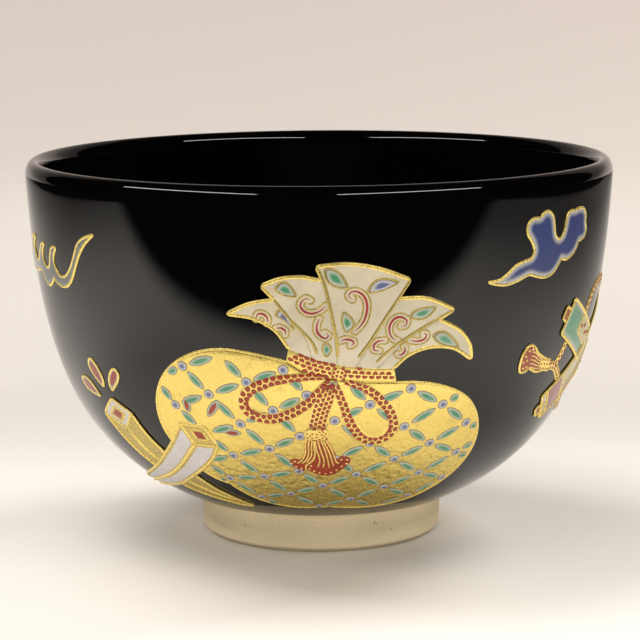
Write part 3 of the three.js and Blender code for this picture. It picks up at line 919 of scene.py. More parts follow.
def mix_finishes():
    """Makes each finish once, for all the pieces that share it."""
    colours = bpy.context.scene.tea_bowl_colours
    c = {key: tuple(getattr(colours, key)) for key in BowlColours.__annotations__}
    surface, beaten = fired_surface_group(), beaten_gold_group()
    FINISHES["black_glaze"] = black_glaze_material(surface, colours)
    FINISHES["clay"] = bare_clay_material(surface, colours)
    FINISHES["white"] = crackled_white_material(surface, colours)
    # Each gold's colour, its folds' scale and relief, its thin places' tone, and its metallic value.
    golds = {
        "gold_leaf": (c["gold"], 800.0, 0.55, 0.72, 0.9),
        "gold_line": (c["gold"], 1500.0, 0.2, 0.8, 0.65),
        "dull_gold": (scaled(c["gold"], 0.6), 1500.0, 0.2, 0.7, 0.6),
        "matt_gold": (c["matt_gold"], 1200.0, 0.35, 0.85, 0.2),
    }
    for finish, values in golds.items():
        FINISHES[finish] = gold_material(finish, beaten, *values)
    # Each enamel's name and colour and, with a pale edge, the edge's colour, start and end.
    enamels = {
        "ivory": ("ivory_enamel", c["ivory"]),
        "red": ("red_enamel", c["red"]),
        "red_halo": ("red_enamel_pale_edge", c["red"], c["halo"], 0.34, 0.62),
        "crimson": ("crimson_enamel", c["crimson"]),
        "green": ("green_enamel", c["green"], c["halo"], 0.36, 0.72),
        "blue": ("blue_grey_enamel", c["blue_grey"], GREY_EDGE, 0.36, 0.72),
        "cloud_blue": ("cloud_blue", c["blue"], CLOUD_EDGE, 0.25, 1.4),
        "cloud_pale": ("cloud_pale", c["cloud_grey"], PALE_CLOUD_EDGE, 0.3, 1.0),
        "brocade": ("brocade_green", c["green"], c["halo"], 0.45, 1.5),
        "yellow": ("yellow_enamel", c["yellow"]),
        "rose": ("rose_enamel", c["rose"], c["halo"], 0.1, 0.45),
    }
    for finish, (name, *values) in enamels.items():
        FINISHES[finish] = enamel_material(name, surface, *values)


# ---- The bowl ----
def spin_profile(name, profile, steps):
    """Turns a closed or axis-to-axis profile of (radius, height) millimetres into a solid."""
    mesh = bpy.data.meshes.new(name)
    points = [(r * MM, 0.0, z * MM) for r, z in profile]
    mesh.from_pydata(points, [(i, i + 1) for i in range(len(points) - 1)], [])
    piece = new_object(name, mesh)
    bpy.ops.object.mode_set(mode="EDIT")
    bpy.ops.mesh.select_all(action="SELECT")
    turn = {"angle": 2 * math.pi, "center": (0, 0, 0), "axis": (0, 0, 1)}
    bpy.ops.mesh.spin(steps=steps, dupli=False, **turn)
    close_up(1e-6)
    return piece


def offset_curve(points, steps, distance):
    """A curve's points moved sideways: outwards on the wall, and into the clay on the inside."""
    line = bezier(points, np.linspace(0, 1, steps + 1))
    along = unit(np.gradient(bezier(points, np.linspace(0, 1, steps * 20 + 1)), axis=0)[::20])
    return line + np.column_stack([along[:, 1], -along[:, 0]]) * distance


def lip(shrink, steps=24):
    """The lip's half ellipse, from the inside to the outside, without its two ends."""
    angle = np.pi * (1 - np.arange(1, steps) / steps)
    r = BOWL_RADIUS - LIP_THICKNESS / 2 + (LIP_THICKNESS / 2 - shrink) * np.cos(angle)
    return np.column_stack([r, WIDEST_HEIGHT + (LIP_ROUND - shrink) * np.sin(angle)])


def skin(depth):
    """From the floor's middle up the inside, over the lip, and down the wall to the glaze line."""
    floor = offset_curve(INSIDE, 48, depth)
    floor[0, 0] = 0.0
    wall = offset_curve(WALL, 72, -depth)[::-1]
    return np.vstack([floor, lip(depth), wall])


def rounded_glaze_edge(steps=6):
    """The thick roll that the glaze ends in, from its outside to its underside."""
    line, along = WALL_LINE[0], WALL_SLOPE[0]
    out = np.array([along[1], -along[0]])
    middle = line - out * GLAZE_THICKNESS / 2
    angle = np.linspace(0, math.pi, steps + 2)[1:-1]
    half = GLAZE_THICKNESS / 2
    return [middle + out * half * math.cos(a) - along * half * math.sin(a) * 1.2 for a in angle]


class TEABOWL_OT_glaze(bpy.types.Operator):
    """Spins the black glaze over the bowl's inside and outside, with a rounded edge at the foot"""

    bl_idname = "tea_bowl.glaze"
    bl_label = "Glaze"

    def execute(self, context):
        profile = np.vstack([skin(0.0), rounded_glaze_edge(), skin(GLAZE_THICKNESS)[::-1]])
        piece = spin_profile("glaze_skin", profile, 240)
        shade_smooth(piece)
        dress(piece, "black_glaze", "black_glaze", "black_glaze")
        return {"FINISHED"}


def arc(centre, radius, start, end, steps):
    """Points on an arc, in degrees, counted from the outward direction up."""
    angle = np.radians(np.linspace(start, end, steps))
    return [(centre[0] + radius * math.cos(a), centre[1] + radius * math.sin(a)) for a in angle]


class TEABOWL_OT_clay(bpy.types.Operator):
    """Spins the clay under the glaze, and its foot ring with the marks of the turning tool"""

    bl_idname = "tea_bowl.clay"
    bl_label = "Clay and foot"

    def execute(self, context):
        core = skin(GLAZE_THICKNESS)
        root = core[-1]
        foot, hole = FOOT_TOP_RADIUS - FOOT_TAPER, FOOT_TOP_RADIUS - FOOT_TAPER - FOOT_WALL
        under = [(root[0] - 0.2, root[1] - 0.15)]
        neck = arc((FOOT_TOP_RADIUS + NECK_FILLET, FOOT_HEIGHT + 0.3), NECK_FILLET, 100, 180, 7)
        wall = [
            (FOOT_TOP_RADIUS - 0.02, FOOT_HEIGHT - 0.6),
            (FOOT_TOP_RADIUS - 0.12, FOOT_HEIGHT * 0.62),
            (foot + 0.06, FOOT_HEIGHT * 0.3),
            (foot, 0.95),
            (foot - 0.12, 0.72),
        ]
        base = [(foot - 0.62, 0.14), (foot - 0.85, 0.0), (hole + 0.85, 0.0), (hole + 0.5, 0.16)]
        recess = [(hole, 0.75), (hole - 0.05, FOOT_HEIGHT * 0.75)]
        ceiling = arc((hole - RECESS_FILLET, FOOT_HEIGHT - RECESS_FILLET), RECESS_FILLET, 0, 90, 6)
        middle = [(r, FOOT_HEIGHT + 0.12 * math.cos(r * 0.9)) for r in (15, 12, 9, 6, 3, 1.2)]
        foot_line = under + neck + wall + base + recess + ceiling + middle + [(0.0, FOOT_HEIGHT)]
        profile = np.vstack([core, np.array(foot_line)])
        piece = spin_profile("turned_clay", profile, 192)
        shade_smooth(piece, 40)
        dress(piece, "clay", "bare_clay", "clay_body", "foot_ring")
        return {"FINISHED"}


# ---- The ornament's outlines, in the sheet's millimetres ----
NECK_TOP = [(-6.2, -28.2), (-1.5, -30.2), (3.4, -31.6), (6.8, -32.2), (10.6, -32.6), (14.9, -32.8)]
NECK_BOTTOM = [(15.6, -36.1), (8, -35.6), (2, -34.8), (-3, -33.4), (-6.8, -31)]
BAG_LEFT = [
    (-6.8, -31), (-13, -29.6), (-20, -28.9), (-27, -30.5), (-33, -34.6), (-37, -41),
    (-38.1, -48), (-36.4, -55), (-32.6, -62.2), (-29, -66.2), (-25.8, -68),
]
BAG_BELLY = [(-25.8, -68), (-23.2, -72.6), (-18.6, -78), (-12, -81.8), (-5, -83), (2.6, -81.9)]
BAG_RIGHT = [
    (2.6, -81.9), (8, -83.3), (15, -84), (22, -83), (29, -79.2), (34.6, -72.4), (38.2, -64),
    (39.2, -55.5), (37.2, -47.5), (32.5, -41.2), (26, -37.7), (20, -36.4), (15.6, -36.1),
]
BAG = [BAG_LEFT, BAG_BELLY, BAG_RIGHT, NECK_BOTTOM]

PLEATS = {
    "middle": [
        [(6.8, -32.9), (11, -25), (14.8, -18.6), (17.2, -15)],
        [(17.2, -15), (11, -12.6), (5, -11.6), (-0.6, -12)],
        [(-0.6, -12), (1.4, -17), (2.8, -25), (3.4, -32.9)],
        [(3.4, -32.9), (6.8, -32.9)],
    ],
    "left": [
        [(3.4, -32.9), (2.8, -25), (0.4, -14.4)],
        [(0.4, -14.4), (-3.5, -14), (-7.5, -14.4), (-11, -15.8)],
        [(-11, -15.8), (-8.6, -18.4), (-6.8, -20.8), (-3.2, -25.5), (-1, -32.5)],
        [(-1, -32.5), (3.4, -32.9)],
    ],
    "right": [
        [(6.8, -32.9), (10.8, -33.4)],
        [(10.8, -33.4), (17, -27), (23.4, -23.2), (26.6, -21.4)],
        [(26.6, -21.4), (20.5, -18.8), (14.8, -18.6)],
        [(14.8, -18.6), (11, -25), (6.8, -32.9)],
    ],
    "outer_left": [
        [(-1, -32.5), (-3.2, -25.5), (-6.8, -20.8), (-8.6, -18.4)],
        [(-8.6, -18.4), (-13.5, -19.4), (-18, -21.5)],
        [(-18, -21.5), (-12.5, -22.3), (-8.6, -24.6), (-6, -28.4), (-4, -31)],
        [(-4, -31), (-1, -32.5)],
    ],
    "outer_right": [
        [(13.6, -34), (17.5, -30.3), (21.5, -28.9), (27, -29.4), (31.8, -32.3)],
        [(31.8, -32.3), (31, -29.2), (28.4, -26), (23.4, -23.2)],
        [(23.4, -23.2), (17, -27), (10.8, -33.4)],
        [(10.8, -33.4), (13.6, -34)],
    ],
}

# What is painted on the pleats: red tendrils, the folds between the pleats, and leaves.
TENDRILS = [
    [(-12.2, -22.2), (-11.8, -21.3), (-10.8, -21.3), (-10, -22.1), (-10.1, -23)],
    [(-8.4, -24.1), (-7.5, -24), (-6.6, -24.7), (-6.7, -25.4)],
    [
        (-1.8, -18.5), (-2.5, -18.1), (-3.3, -18.6), (-3.7, -19.6), (-2.9, -20.7), (-1.5, -21.1),
        (-0.2, -20.7), (1.2, -19.6),
    ],
    [
        (-0.1, -22.1), (-0.6, -23.4), (-0.5, -24.9), (0.4, -25.9), (1.2, -26.1), (1.6, -25.5),
        (0.9, -25),
    ],
    [
        (6.1, -18.4), (5.4, -17.8), (5.8, -17), (7, -16.9), (8.3, -17.9), (8.9, -19.6),
        (8.7, -21.8), (7.9, -23.5), (6.7, -24.8),
    ],
    [(3.9, -26.7), (5, -26.4), (6.2, -26.7), (6.5, -27.3), (5.9, -27.7)],
    [
        (15.6, -24.1), (16.6, -24), (16.8, -23.1), (15.8, -22.3), (14.5, -22.4), (13.5, -23.7),
        (13.5, -25.5), (14.5, -26.8), (15.1, -27),
    ],
    [(12.6, -26.9), (11.2, -27), (10.4, -27.9), (10.6, -28.8), (11.6, -29)],
    [(17.7, -27.1), (19.3, -27.4), (20.8, -26.9), (21, -26.1), (20.3, -25.9)],
    [(16.6, -28.3), (16.8, -29.2), (16, -30.1), (15.3, -29.9)],
]
FOLDS = [
    [(-8.6, -18.4), (-6.4, -21.5), (-3.5, -24.6), (-1.6, -26.9), (-0.5, -29.5)],
    [(-0.2, -12.6), (1, -16), (1.9, -20), (2.7, -23.9), (3.3, -27.3), (3.4, -30.2)],
    [(17.2, -15), (14.5, -19.2), (12.2, -22.8), (9.8, -26.8), (7.4, -30.4)],
    [(26.6, -21.4), (21.7, -23.8), (17.8, -26), (14.1, -28.5), (11, -31.5)],
]
PLEAT_EDGES = [
    [(17.2, -15), (11, -12.6), (5, -11.6), (-0.6, -12)],
    [(-0.6, -12), (0.2, -14.4), (-3.5, -14), (-7.5, -14.4), (-11, -15.8)],
    [(-11, -15.8), (-9.8, -17.1), (-8.6, -18.4)],
    [(-8.6, -18.4), (-13.5, -19.4), (-18, -21.5)],
    [(-18, -21.5), (-12.5, -22.3), (-8.6, -24.6), (-6, -28.4)],
    [(14.8, -18.6), (20.5, -18.8), (26.6, -21.4)],
    [(26.6, -21.4), (23.4, -23.2)],
    [(23.4, -23.2), (28.4, -26), (31, -29.2), (31.8, -32.3)],
    [(31.8, -32.3), (27, -29.4), (21.5, -28.9), (17.5, -30.3), (14.6, -33)],
]
PLEAT_LEAVES = [
    [(-8.5, -16.3), (-6.3, -15), (-4.3, -17.8), (-6.6, -17.5)],
    [(1, -26.9), (2.2, -28.4), (1.2, -30.1), (0.4, -28.4)],
    [(5.4, -16.3), (1.9, -15.3), (0.9, -12.4), (3.5, -13.1)],
    [(5, -25.1), (4.1, -22.9), (4.5, -20.7), (6.5, -23.2)],
    [(17.2, -22.4), (18.9, -20.9), (22.8, -20.6), (20.4, -22.8)],
    [(22.3, -26.5), (25, -25.9), (28.6, -29.4), (24.6, -28.5)],
]
PLEAT_BLUE_LEAVES = [
    [(8.9, -17.2), (10.9, -14.7), (15, -15.3), (11.9, -16.8)],
    [(-8.6, -21.6), (-6.9, -20.5), (-4.9, -24.6), (-6.7, -22.5)],
]

BOW_LEFT = [
    (0.9, -34.4), (-1.9, -34.3), (-5.9, -34.7), (-10.2, -35.5), (-12.5, -36.5), (-14.5, -37.7),
    (-15.8, -39.3), (-16.1, -41), (-15.3, -42.8), (-13.6, -43.9), (-11.6, -44.4), (-9.4, -44.2),
    (-7.3, -43.4), (-5, -42.1), (-3, -40.7), (-0.8, -38.4), (0.8, -36.6), (2, -35.4),
]
BOW_RIGHT = [
    (2.8, -35.8), (3.9, -38.5), (4.9, -41.4), (6, -44.5), (7.3, -47.3), (9.2, -49.6), (11.7, -50.6),
    (14.1, -50), (15.6, -48.3), (15.8, -45.8), (14.8, -43.1), (13.2, -40.8), (11.3, -38.8),
    (9.3, -37.3), (7.2, -36.3), (5.2, -35.5),
]
CORD_TAIL = [(1.9, -36.3), (1.5, -38), (0.7, -40.2), (0, -42.4), (-0.5, -44.7), (-0.9, -46.9)]
TASSEL = [
    [(1.3, -47.2), (1.3, -49.5), (2.2, -51.5), (3.2, -53.8), (3.7, -55.5)],
    [
        (3.7, -55.5), (5.3, -55.1), (6.7, -55.7), (7.1, -56.8),
        (6.1, -58.9), (4.9, -60.2), (3.7, -61.5),
        (2, -62.2), (0.3, -62.2), (-1.3, -61.5), (-2.6, -60.5), (-3.6, -60),
    ],
    [
        (-3.6, -60), (-4.6, -60.3), (-5.6, -59.8), (-6.7, -58.7),
        (-7.5, -57.3), (-7.3, -56.4), (-6.2, -55.9),
        (-5, -56.2),
    ],
    [(-5, -56.2), (-4.1, -54.8), (-3.8, -53.1), (-3.8, -51.3), (-3.3, -49.5), (-3.2, -47.2)],
    [(-3.2, -47.2), (1.3, -47.2)],
]
TASSEL_HEAD = [
    [
        (-3.5, -49.6), (-3.6, -47.9), (-2.6, -46.8), (-1, -46.9), (0.9, -46.7), (1.7, -47.9),
        (1.5, -49.6),
    ],
    [(1.5, -49.6), (0.3, -50.1), (-1.4, -49.9), (-2.4, -50.1), (-3.5, -49.6)],
]
STRANDS = [
    [(-3.1, -49.6), (-3.5, -51.3), (-3.5, -53.3), (-3.9, -55.1), (-4.8, -56.6), (-5.8, -57.3)],
    [(-2.5, -49.8), (-2.8, -51.2), (-2.8, -53.3), (-3.1, -55.2), (-3.8, -56.6), (-4.6, -57.5)],
    [(-1.9, -49.9), (-2.1, -51.5), (-2.1, -53.3), (-2.3, -54.9), (-2.9, -56.2), (-3.5, -57.1)],
    [(-1.3, -50), (-1, -52.8), (-0.5, -54.9), (-0.3, -56.9), (-0.9, -58.9)],
    [(-0.7, -49.9), (-0.3, -52), (0.2, -54.1), (0.7, -56.3), (0.5, -59.2)],
    [(0, -49.9), (0.5, -51.5), (1.1, -53.6), (1.6, -56.1), (2, -59.2)],
    [(0.5, -49.9), (1.1, -51.5), (1.9, -53.6), (2.5, -56.1), (3.1, -58.6)],
    [(1, -49.7), (1.7, -51.2), (2.5, -53), (3.2, -55.5), (3.7, -57), (4.4, -57.5)],
]
TASSEL_PARTING = [
    (-1.5, -50), (-1.5, -52), (-1.4, -54.1), (-1.7, -55.8),
    (-2.5, -57), (-3.4, -57.8), (-3.7, -58.9), (-3.6, -60),
]
HEM_DOTS = [
    (-2.4, -58.2), (-2.8, -59.3), (-1.7, -60.2), (-0.4, -60.9),
    (1.1, -61.3), (2.5, -60.8), (3.8, -59.9),
    (5, -58.5), (6.1, -57.6), (6.2, -56.2), (4.8, -56.1),
    (-6.2, -56.7), (-7, -57.4), (-6, -58.6), (-4.8, -59.3),
]
HEAD_DOTS = [
    (-3, -48), (-2.3, -48.5), (-2.8, -49), (-1.9, -49.2),
    (-1.8, -48), (-0.9, -48.1), (-0.9, -48.9), (-0.3, -49.5),
    (0.2, -48.3), (0.3, -49.2), (0.8, -48.7), (1.1, -48), (1.2, -49.3), (-0.2, -47.5), (0.6, -47.5),
]

# The net over the bag: its crossings, by column up to the right and row down to the right.
CROSSINGS = {
    (0, 0): (-32.4, -42.5), (1, 0): (-23.7, -39.1), (2, 0): (-15.1, -35.8), (3, 0): (-7.4, -32.8),
    (1, -1): (-28.8, -33.1), (2, -1): (-20.1, -30.1), (0, -1): (-36, -36.6),
    (0, 1): (-26.5, -49.5), (1, 1): (-17.6, -46.1), (2, 1): (-10, -42.3), (3, 1): (-2.8, -38.5),
    (4, 1): (5, -35), (-1, 1): (-35.5, -53), (-1, 2): (-29.5, -59), (0, 2): (-21.1, -55.7),
    (1, 2): (-11.8, -52.9), (2, 2): (-4.6, -49), (3, 2): (3, -44.8), (4, 2): (10.3, -41),
    (5, 2): (18.8, -37.7), (6, 2): (26.5, -34), (-2, 3): (-34, -69), (-1, 3): (-24.7, -65),
    (0, 3): (-14.7, -63.2), (1, 3): (-5.5, -60.5), (2, 3): (3.5, -56), (3, 3): (11.2, -51.4),
    (4, 3): (18.5, -47.2), (5, 3): (26.7, -42.2), (6, 3): (35, -38), (-2, 4): (-27.5, -78),
    (-1, 4): (-18.1, -74.8), (0, 4): (-8.7, -71.7), (1, 4): (0.5, -67), (2, 4): (8.9, -62.1),
    (3, 4): (17.8, -57), (4, 4): (25.8, -52.7), (5, 4): (34.1, -47.9), (6, 4): (42.5, -43.5),
    (-1, 5): (-11, -85), (0, 5): (-0.8, -81.2), (1, 5): (8.9, -75.7), (2, 5): (17.6, -69.1),
    (3, 5): (26, -63.4), (4, 5): (34.6, -57), (5, 5): (42.5, -52), (0, 6): (7.5, -89),
    (1, 6): (18, -83.5), (2, 6): (27.7, -76.5), (3, 6): (35, -67.5), (4, 6): (43.5, -62),
    (3, 7): (37.5, -79),
}
BAG_PETALS = [
    ((-29.5, -40.2), (-29.5, -44.2)),
    ((-21.8, -40.3), (-25, -44.8)),
    ((-22, -48.6), (-17.7, -48.7)),
]

WHITE_TUSK_END = [(-32.6, -47.3), (-26.5, -47.5), (-24.3, -53), (-30.4, -53.1)]
WHITE_TUSK_BACK = [
    (-32.6, -47.3), (-36.6, -52.8), (-41, -57.5), (-47, -62.8), (-54, -67.5), (-62, -71.8),
    (-70, -76.4), (-78, -81), (-86, -86),
]
WHITE_TUSK_RIDGE = [
    (-30.5, -53.2), (-33.7, -57), (-38.8, -62.2), (-46, -67.6),
    (-54, -71.8), (-62, -75.4), (-76, -81.6),
]
WHITE_TUSK_FRONT = [
    (-86, -86), (-76, -83.2), (-66, -79.6), (-57, -76.8), (-50, -74.6), (-43, -71), (-37, -66.5),
    (-31.5, -62), (-27, -57.5), (-24.3, -53),
]
GOLD_TUSK_END = [(-52.6, -43.8), (-47, -46.7), (-51.4, -51.6), (-58.4, -48.6)]
GOLD_TUSK_LEFT = [(-58.4, -48.6), (-56, -54), (-53, -60), (-49.8, -65)]
GOLD_TUSK_RIGHT = [(-41.4, -58.2), (-44.6, -52.6), (-47, -46.7)]
GOLD_TUSK_RIDGE = [(-51.4, -51.6), (-50.5, -54.6), (-49.1, -57.6), (-47.3, -60.4), (-45, -62.6)]
GOLD_POINT_LEFT = [
    (-45.7, -73.2), (-42.6, -75.6), (-38.6, -78.4), (-33, -81.4), (-28, -83.4), (-23.8, -84),
]
GOLD_POINT_RIGHT = [(-23.8, -84), (-28, -78.4), (-32, -73), (-35.8, -66.2)]
GOLD_POINT_RIDGE = [(-41.6, -70.3), (-38.3, -72.9), (-34.6, -76.2), (-28.9, -80.2)]
DROPS = [
    [
        (-57.1, -44.1), (-58.9, -41.4), (-61.3, -39.9), (-63.4, -40.6), (-62.5, -42.8),
        (-59.8, -43.7), (-57.1, -44.1),
    ],
    [
        (-54.1, -41.3), (-53.5, -39.2), (-54.3, -36.6), (-56.4, -34.8), (-57.6, -36.3),
        (-56.7, -38.6), (-54.1, -41.3),
    ],
    [
        (-51.2, -41.8), (-51.3, -39.8), (-50.1, -37.4), (-48.2, -36), (-47.2, -36.9),
        (-47.8, -38.6), (-51.2, -41.8),
    ],
]

CURLED_CLOUD = [
    [
        (-48, -8.1), (-51.5, -9.2), (-53.6, -10.5), (-55.5, -13.3), (-57.5, -15.9), (-60, -17.7),
        (-62.4, -17.9), (-64.2, -16.6), (-64.5, -14.4), (-62.8, -12.2),
    ],
    [
        (-62.8, -12.2), (-65, -12.5), (-66.4, -14.3), (-67.4, -16.4), (-69.2, -17), (-71, -16),
        (-70.9, -13.8), (-69.2, -12),
    ],
    [
        (-69.2, -12), (-71.5, -12.6), (-73.3, -14.6), (-75.4, -16.3), (-77.6, -15.6),
        (-78, -13.4), (-75.6, -11.2),
    ],
    [(-75.6, -11.2), (-79, -11.6), (-82, -14), (-86, -16.4), (-92, -17.4)],
    [(-92, -17.4), (-86, -18.6), (-80, -18.8), (-73.6, -18)],
    [(-73.6, -18), (-72, -19.6), (-69.3, -20.7), (-67, -19.8), (-65.8, -18.7)],
    [
        (-65.8, -18.7), (-64, -19.6), (-61.8, -20), (-59.3, -19.5), (-57.3, -18),
        (-55.5, -15.6), (-53.2, -12.4), (-51, -10.2), (-48, -8.1),
    ],
]
FORKED_CLOUD = [
    [
        (33.8, -16.7), (36.5, -16.5), (38.3, -15.6), (40.4, -14.1), (42.6, -13.4), (44.6, -12.9),
        (45.2, -11.6), (44.4, -9.8), (43.1, -8.2), (42.8, -6.6), (44, -5.4), (46.2, -5.3),
    ],
    [
        (46.2, -5.3), (47.2, -4.5), (48.4, -4.2), (50, -5.2), (50.7, -7.2), (51.3, -9.2),
        (52.4, -10), (53.6, -9.7), (54.4, -8.2), (54.8, -6.2), (55.8, -5), (57.8, -5),
    ],
    [
        (57.8, -5), (59.4, -4.7), (61.4, -5), (62.5, -6.3), (62.6, -7.8), (63.2, -9.2),
        (62.6, -10.6), (60.2, -11.3),
    ],
    [(60.2, -11.3), (59.2, -12.8), (57.8, -13.8), (55.8, -14.4), (54, -14)],
    [
        (54, -14), (53, -15.3), (51.2, -16.8), (48.8, -17.2), (46.3, -16.7), (44.3, -16.2),
        (41.5, -17), (38.5, -17.6), (36, -17.3), (33.8, -16.7),
    ],
]

SCROLL_LENGTH = 42.0
SCROLL_WIDTH = 8.0
KNOB = 2.2  # how far a scroll's knobs stand out
FALLING_SCROLL = ((60.6, -26.8), -0.51)  # where the axis starts, and its angle
RISING_SCROLL = ((60.8, -48.6), 0.54)
SCROLL_TASSEL = [
    [(57, -36), (54, -35), (51, -33.4), (49.6, -31.9)],
    [
        (49.6, -31.9), (47.8, -31.3), (46.1, -32.8), (45.7, -35), (46.1, -37), (47.6, -37.3),
        (49, -36.6),
    ],
    [(49, -36.6), (52, -37.9), (54.6, -37.9), (57, -38.4)],
    [(57, -38.4), (57, -36)],
]
SCROLL_TASSEL_NECK = [(52.6, -34.5), (57, -36), (57, -38.4), (52.8, -38)]
SCROLL_STRAND = [(53.2, -36.2), (51.6, -35.7), (50, -34.9), (48.7, -34.6)]
SCROLL_STRAND_SPREAD = (1.1, 1.6, 2, 2)
SCROLL_HEM_DOTS = [
    (48.9, -32.3), (47.8, -32.5), (47, -33.7), (46.6, -35),
    (46.9, -36.3), (47.6, -34.7), (48, -36.2),
]
SCROLL_CORD = [(56.4, -37.1), (60, -38.1), (62.4, -40), (65, -42.4)]
SCROLL_CORD_UP = [(59.6, -37.9), (61.4, -35.4), (62.8, -32.4)]
SWAG_UPPER = [(70.6, -28.3), (74, -23.4), (82, -21.6), (89, -24.2), (92, -28.6)]
SWAG_LOWER = [(70.6, -46.4), (78, -52), (87, -53.4), (94, -51.5), (97.2, -47.6)]

MALLET = ((131.0, -52.0), 0.5)
MALLET_HEAD = (27, 16)  # length and width
MALLET_GRIP = (140.5, -57.4)
JEWEL_SIZE = 17.0
# The middle of each jewel's round end, its finish, and how far it lies over its neighbours.
JEWELS = {
    "top": ((205, -56), "cloud_blue", 0.12),
    "left": ((194, -72), "brocade", 0.0),
    "right": ((216, -72), "rose", 0.0),
}

# How the small ornament is drawn.
NET_MARGIN = 0.5  # how far the net's leaves stay from the bag's edge
NET_DOT_MARGIN = 1.2
NET_LEAF_WIDTH = 1.95
NET_DOT_RADIUS = 1.1
BAG_PETAL_WIDTH = 2.1
TENDRIL_GAP = 0.72  # from a red tendril to the gold line round it
FINE_FLATNESS = 0.35
TUSK_BORDER = 0.75  # the gold left round the white tusk's panels
CORD_FLATNESS = 0.08
CELL_UNEVENNESS = (0.88, 1.06)
CELL_CORNER_CUT = 0.1
CELL_SINK = 0.03  # how deep a braid's red cells lie in its gold


def white_tusk_outline():
    tip = WHITE_TUSK_END
    return [WHITE_TUSK_BACK, WHITE_TUSK_FRONT, [tip[2], tip[1]], [tip[1], tip[0]]]


def net_over(bag, tusk, covers):
    """The net's leaves, which run between neighbouring crossings, and the dots on its crossings."""
    leaves, dots = [], []
    for (column, row), here in CROSSINGS.items():
        wide = true_width(here[1]) ** 0.6
        for neighbour in ((column + 1, row), (column, row + 1)):
            if neighbour not in CROSSINGS:
                continue
            a, b = np.array(here), np.array(CROSSINGS[neighbour])
            ends = within(a + (b - a) * 0.18, a + (b - a) * 0.82, bag, NET_MARGIN, covers)
            if ends:
                leaves.append(leaf(*ends, NET_LEAF_WIDTH * wide))
        spot = np.array([here])
        in_bag = inside(spot, bag)[0] and distance_to(spot, bag)[0] > NET_DOT_MARGIN
        if in_bag and not inside(spot, tusk)[0]:
            dots.append(dot(here, NET_DOT_RADIUS * wide, 0.5, 12))
    return leaves, dots


class TEABOWL_OT_bag(bpy.types.Operator):
    """Lays the bag's beaten gold, and the net of green leaves and blue dots over it"""

    bl_idname = "tea_bowl.bag"
    bl_label = "Bag"

    def execute(self, context):
        top = patch_top()
        patch("bag_gold", BAG, "gold_leaf", ("bag_gold_ground",), spacing=0.9)
        tusk, bag = outline(white_tusk_outline()), outline(BAG)
        sides = [part for run in (BAG_LEFT, BAG_BELLY, BAG_RIGHT) for part in clear_of(run, tusk)]
        strokes("bag_outline", outline_strokes(sides, 0.55), top * 0.5)
        petals = [leaf(start, end, BAG_PETAL_WIDTH) for start, end in BAG_PETALS]
        leaves, dots = net_over(bag, tusk, [tusk] + [outer for outer, _ in petals])
        beads("bag_net_leaves", leaves, "green", 0.16, top)
        beads("bag_net_dots", dots, "blue", 0.18, top)
        beads("bag_petals", petals, "red_halo", 0.16, top)
        return {"FINISHED"}


class TEABOWL_OT_pleats(bpy.types.Operator):
    """Lays the ivory pleats of the bag's mouth, with their gold edges, tendrils and leaves"""

    bl_idname = "tea_bowl.pleats"
    bl_label = "Pleats"

    def execute(self, context):
        top, fine = patch_top(), sizes().fine_width / MM
        for side, runs in PLEATS.items():
            patch(f"pleat_{side}", runs, "ivory", (f"bag_pleat_{side}",), spacing=0.9)
        strokes("pleat_edges", outline_strokes(PLEAT_EDGES, 0.8), top * 0.6)
        strokes("pleat_folds", outline_strokes(FOLDS, 0.62), top * 0.95, "dull_gold")
        runs = [part for run in TENDRILS for part in beside(run, TENDRIL_GAP)]
        for base, left, tip, right in PLEAT_LEAVES + PLEAT_BLUE_LEAVES:
            runs += [bowed(base, left, tip), bowed(tip, right, base)]
        lines = outline_strokes(runs, 0.36)
        strokes("pleat_gold_lines", lines, top * 0.95, "dull_gold", FINE_FLATNESS)
        red = outline_strokes(TENDRILS, fine * 1.05, "point")
        strokes("pleat_red_tendrils", red, top, "crimson", FINE_FLATNESS)
        for finish, shapes in (("green", PLEAT_LEAVES), ("blue", PLEAT_BLUE_LEAVES)):
            cores = [(petal(corners, 0.9), petal(corners, 0.5)) for corners in shapes]
            beads(f"pleat_{finish}_leaves", cores, finish, 0.12, top, rings=4)
        return {"FINISHED"}


def along_line(points, step):
    """Even places on a smooth line: points, the directions there, and shares of the way."""
    line = smooth(points, 0.2)
    run = way_along(line)
    count = max(1, int(round(run[-1] / step)))
    at = (np.arange(count) + 0.5) / count * run[-1]
    place, ahead, back = (
        np.column_stack([np.interp(at + gap, run, line[:, k]) for k in (0, 1)])
        for gap in (0, 0.2, -0.2)
    )
    return place, unit(ahead - back), at / run[-1]


def cord_taper(share, taper):
    """How wide a cord is along its way, as a share of its full width."""
    return np.interp(share, (0, 0.3, 0.7, 1), (taper[0], 1, 1, taper[1]))


def braid_cells(points, width, rows, pitch, taper=(1, 1), gap=0.2):
    """The red cells of flat braids. In each braid's two rows they point inwards and interlock."""
    hand = np.random.default_rng(rows)
    cells = []
    for spot, way, share in zip(*along_line(points, pitch)):
        tall = width * cord_taper(share, taper) / rows
        side = np.array([-way[1], way[0]])
        long, edge, bend = (pitch - gap) / 2, tall - gap * 0.35, tall * 0.2
        notch, shoulder = gap / 2 - bend, gap / 2 + bend
        house = [(-long, edge), (-long, shoulder), (0, notch), (long, shoulder), (long, edge)]
        for row in range(rows):
            out = 1 if row % 2 else -1
            middle = spot + side * (row // 2 * 2 + 1 - rows / 2) * tall + way * pitch * 0.25 * out
            corners = np.array(house) * hand.uniform(*CELL_UNEVENNESS, (5, 2))
            cut = [(np.roll(corners, k, 0) - corners) * CELL_CORNER_CUT for k in (1, -1)]
            x, y = np.stack([corners + part for part in cut], 1).reshape(-1, 2).T
            cell = middle + x[:, None] * way + y[:, None] * side * out
            cells.append((cell, about_centre(cell, 0.86)))
    return cells


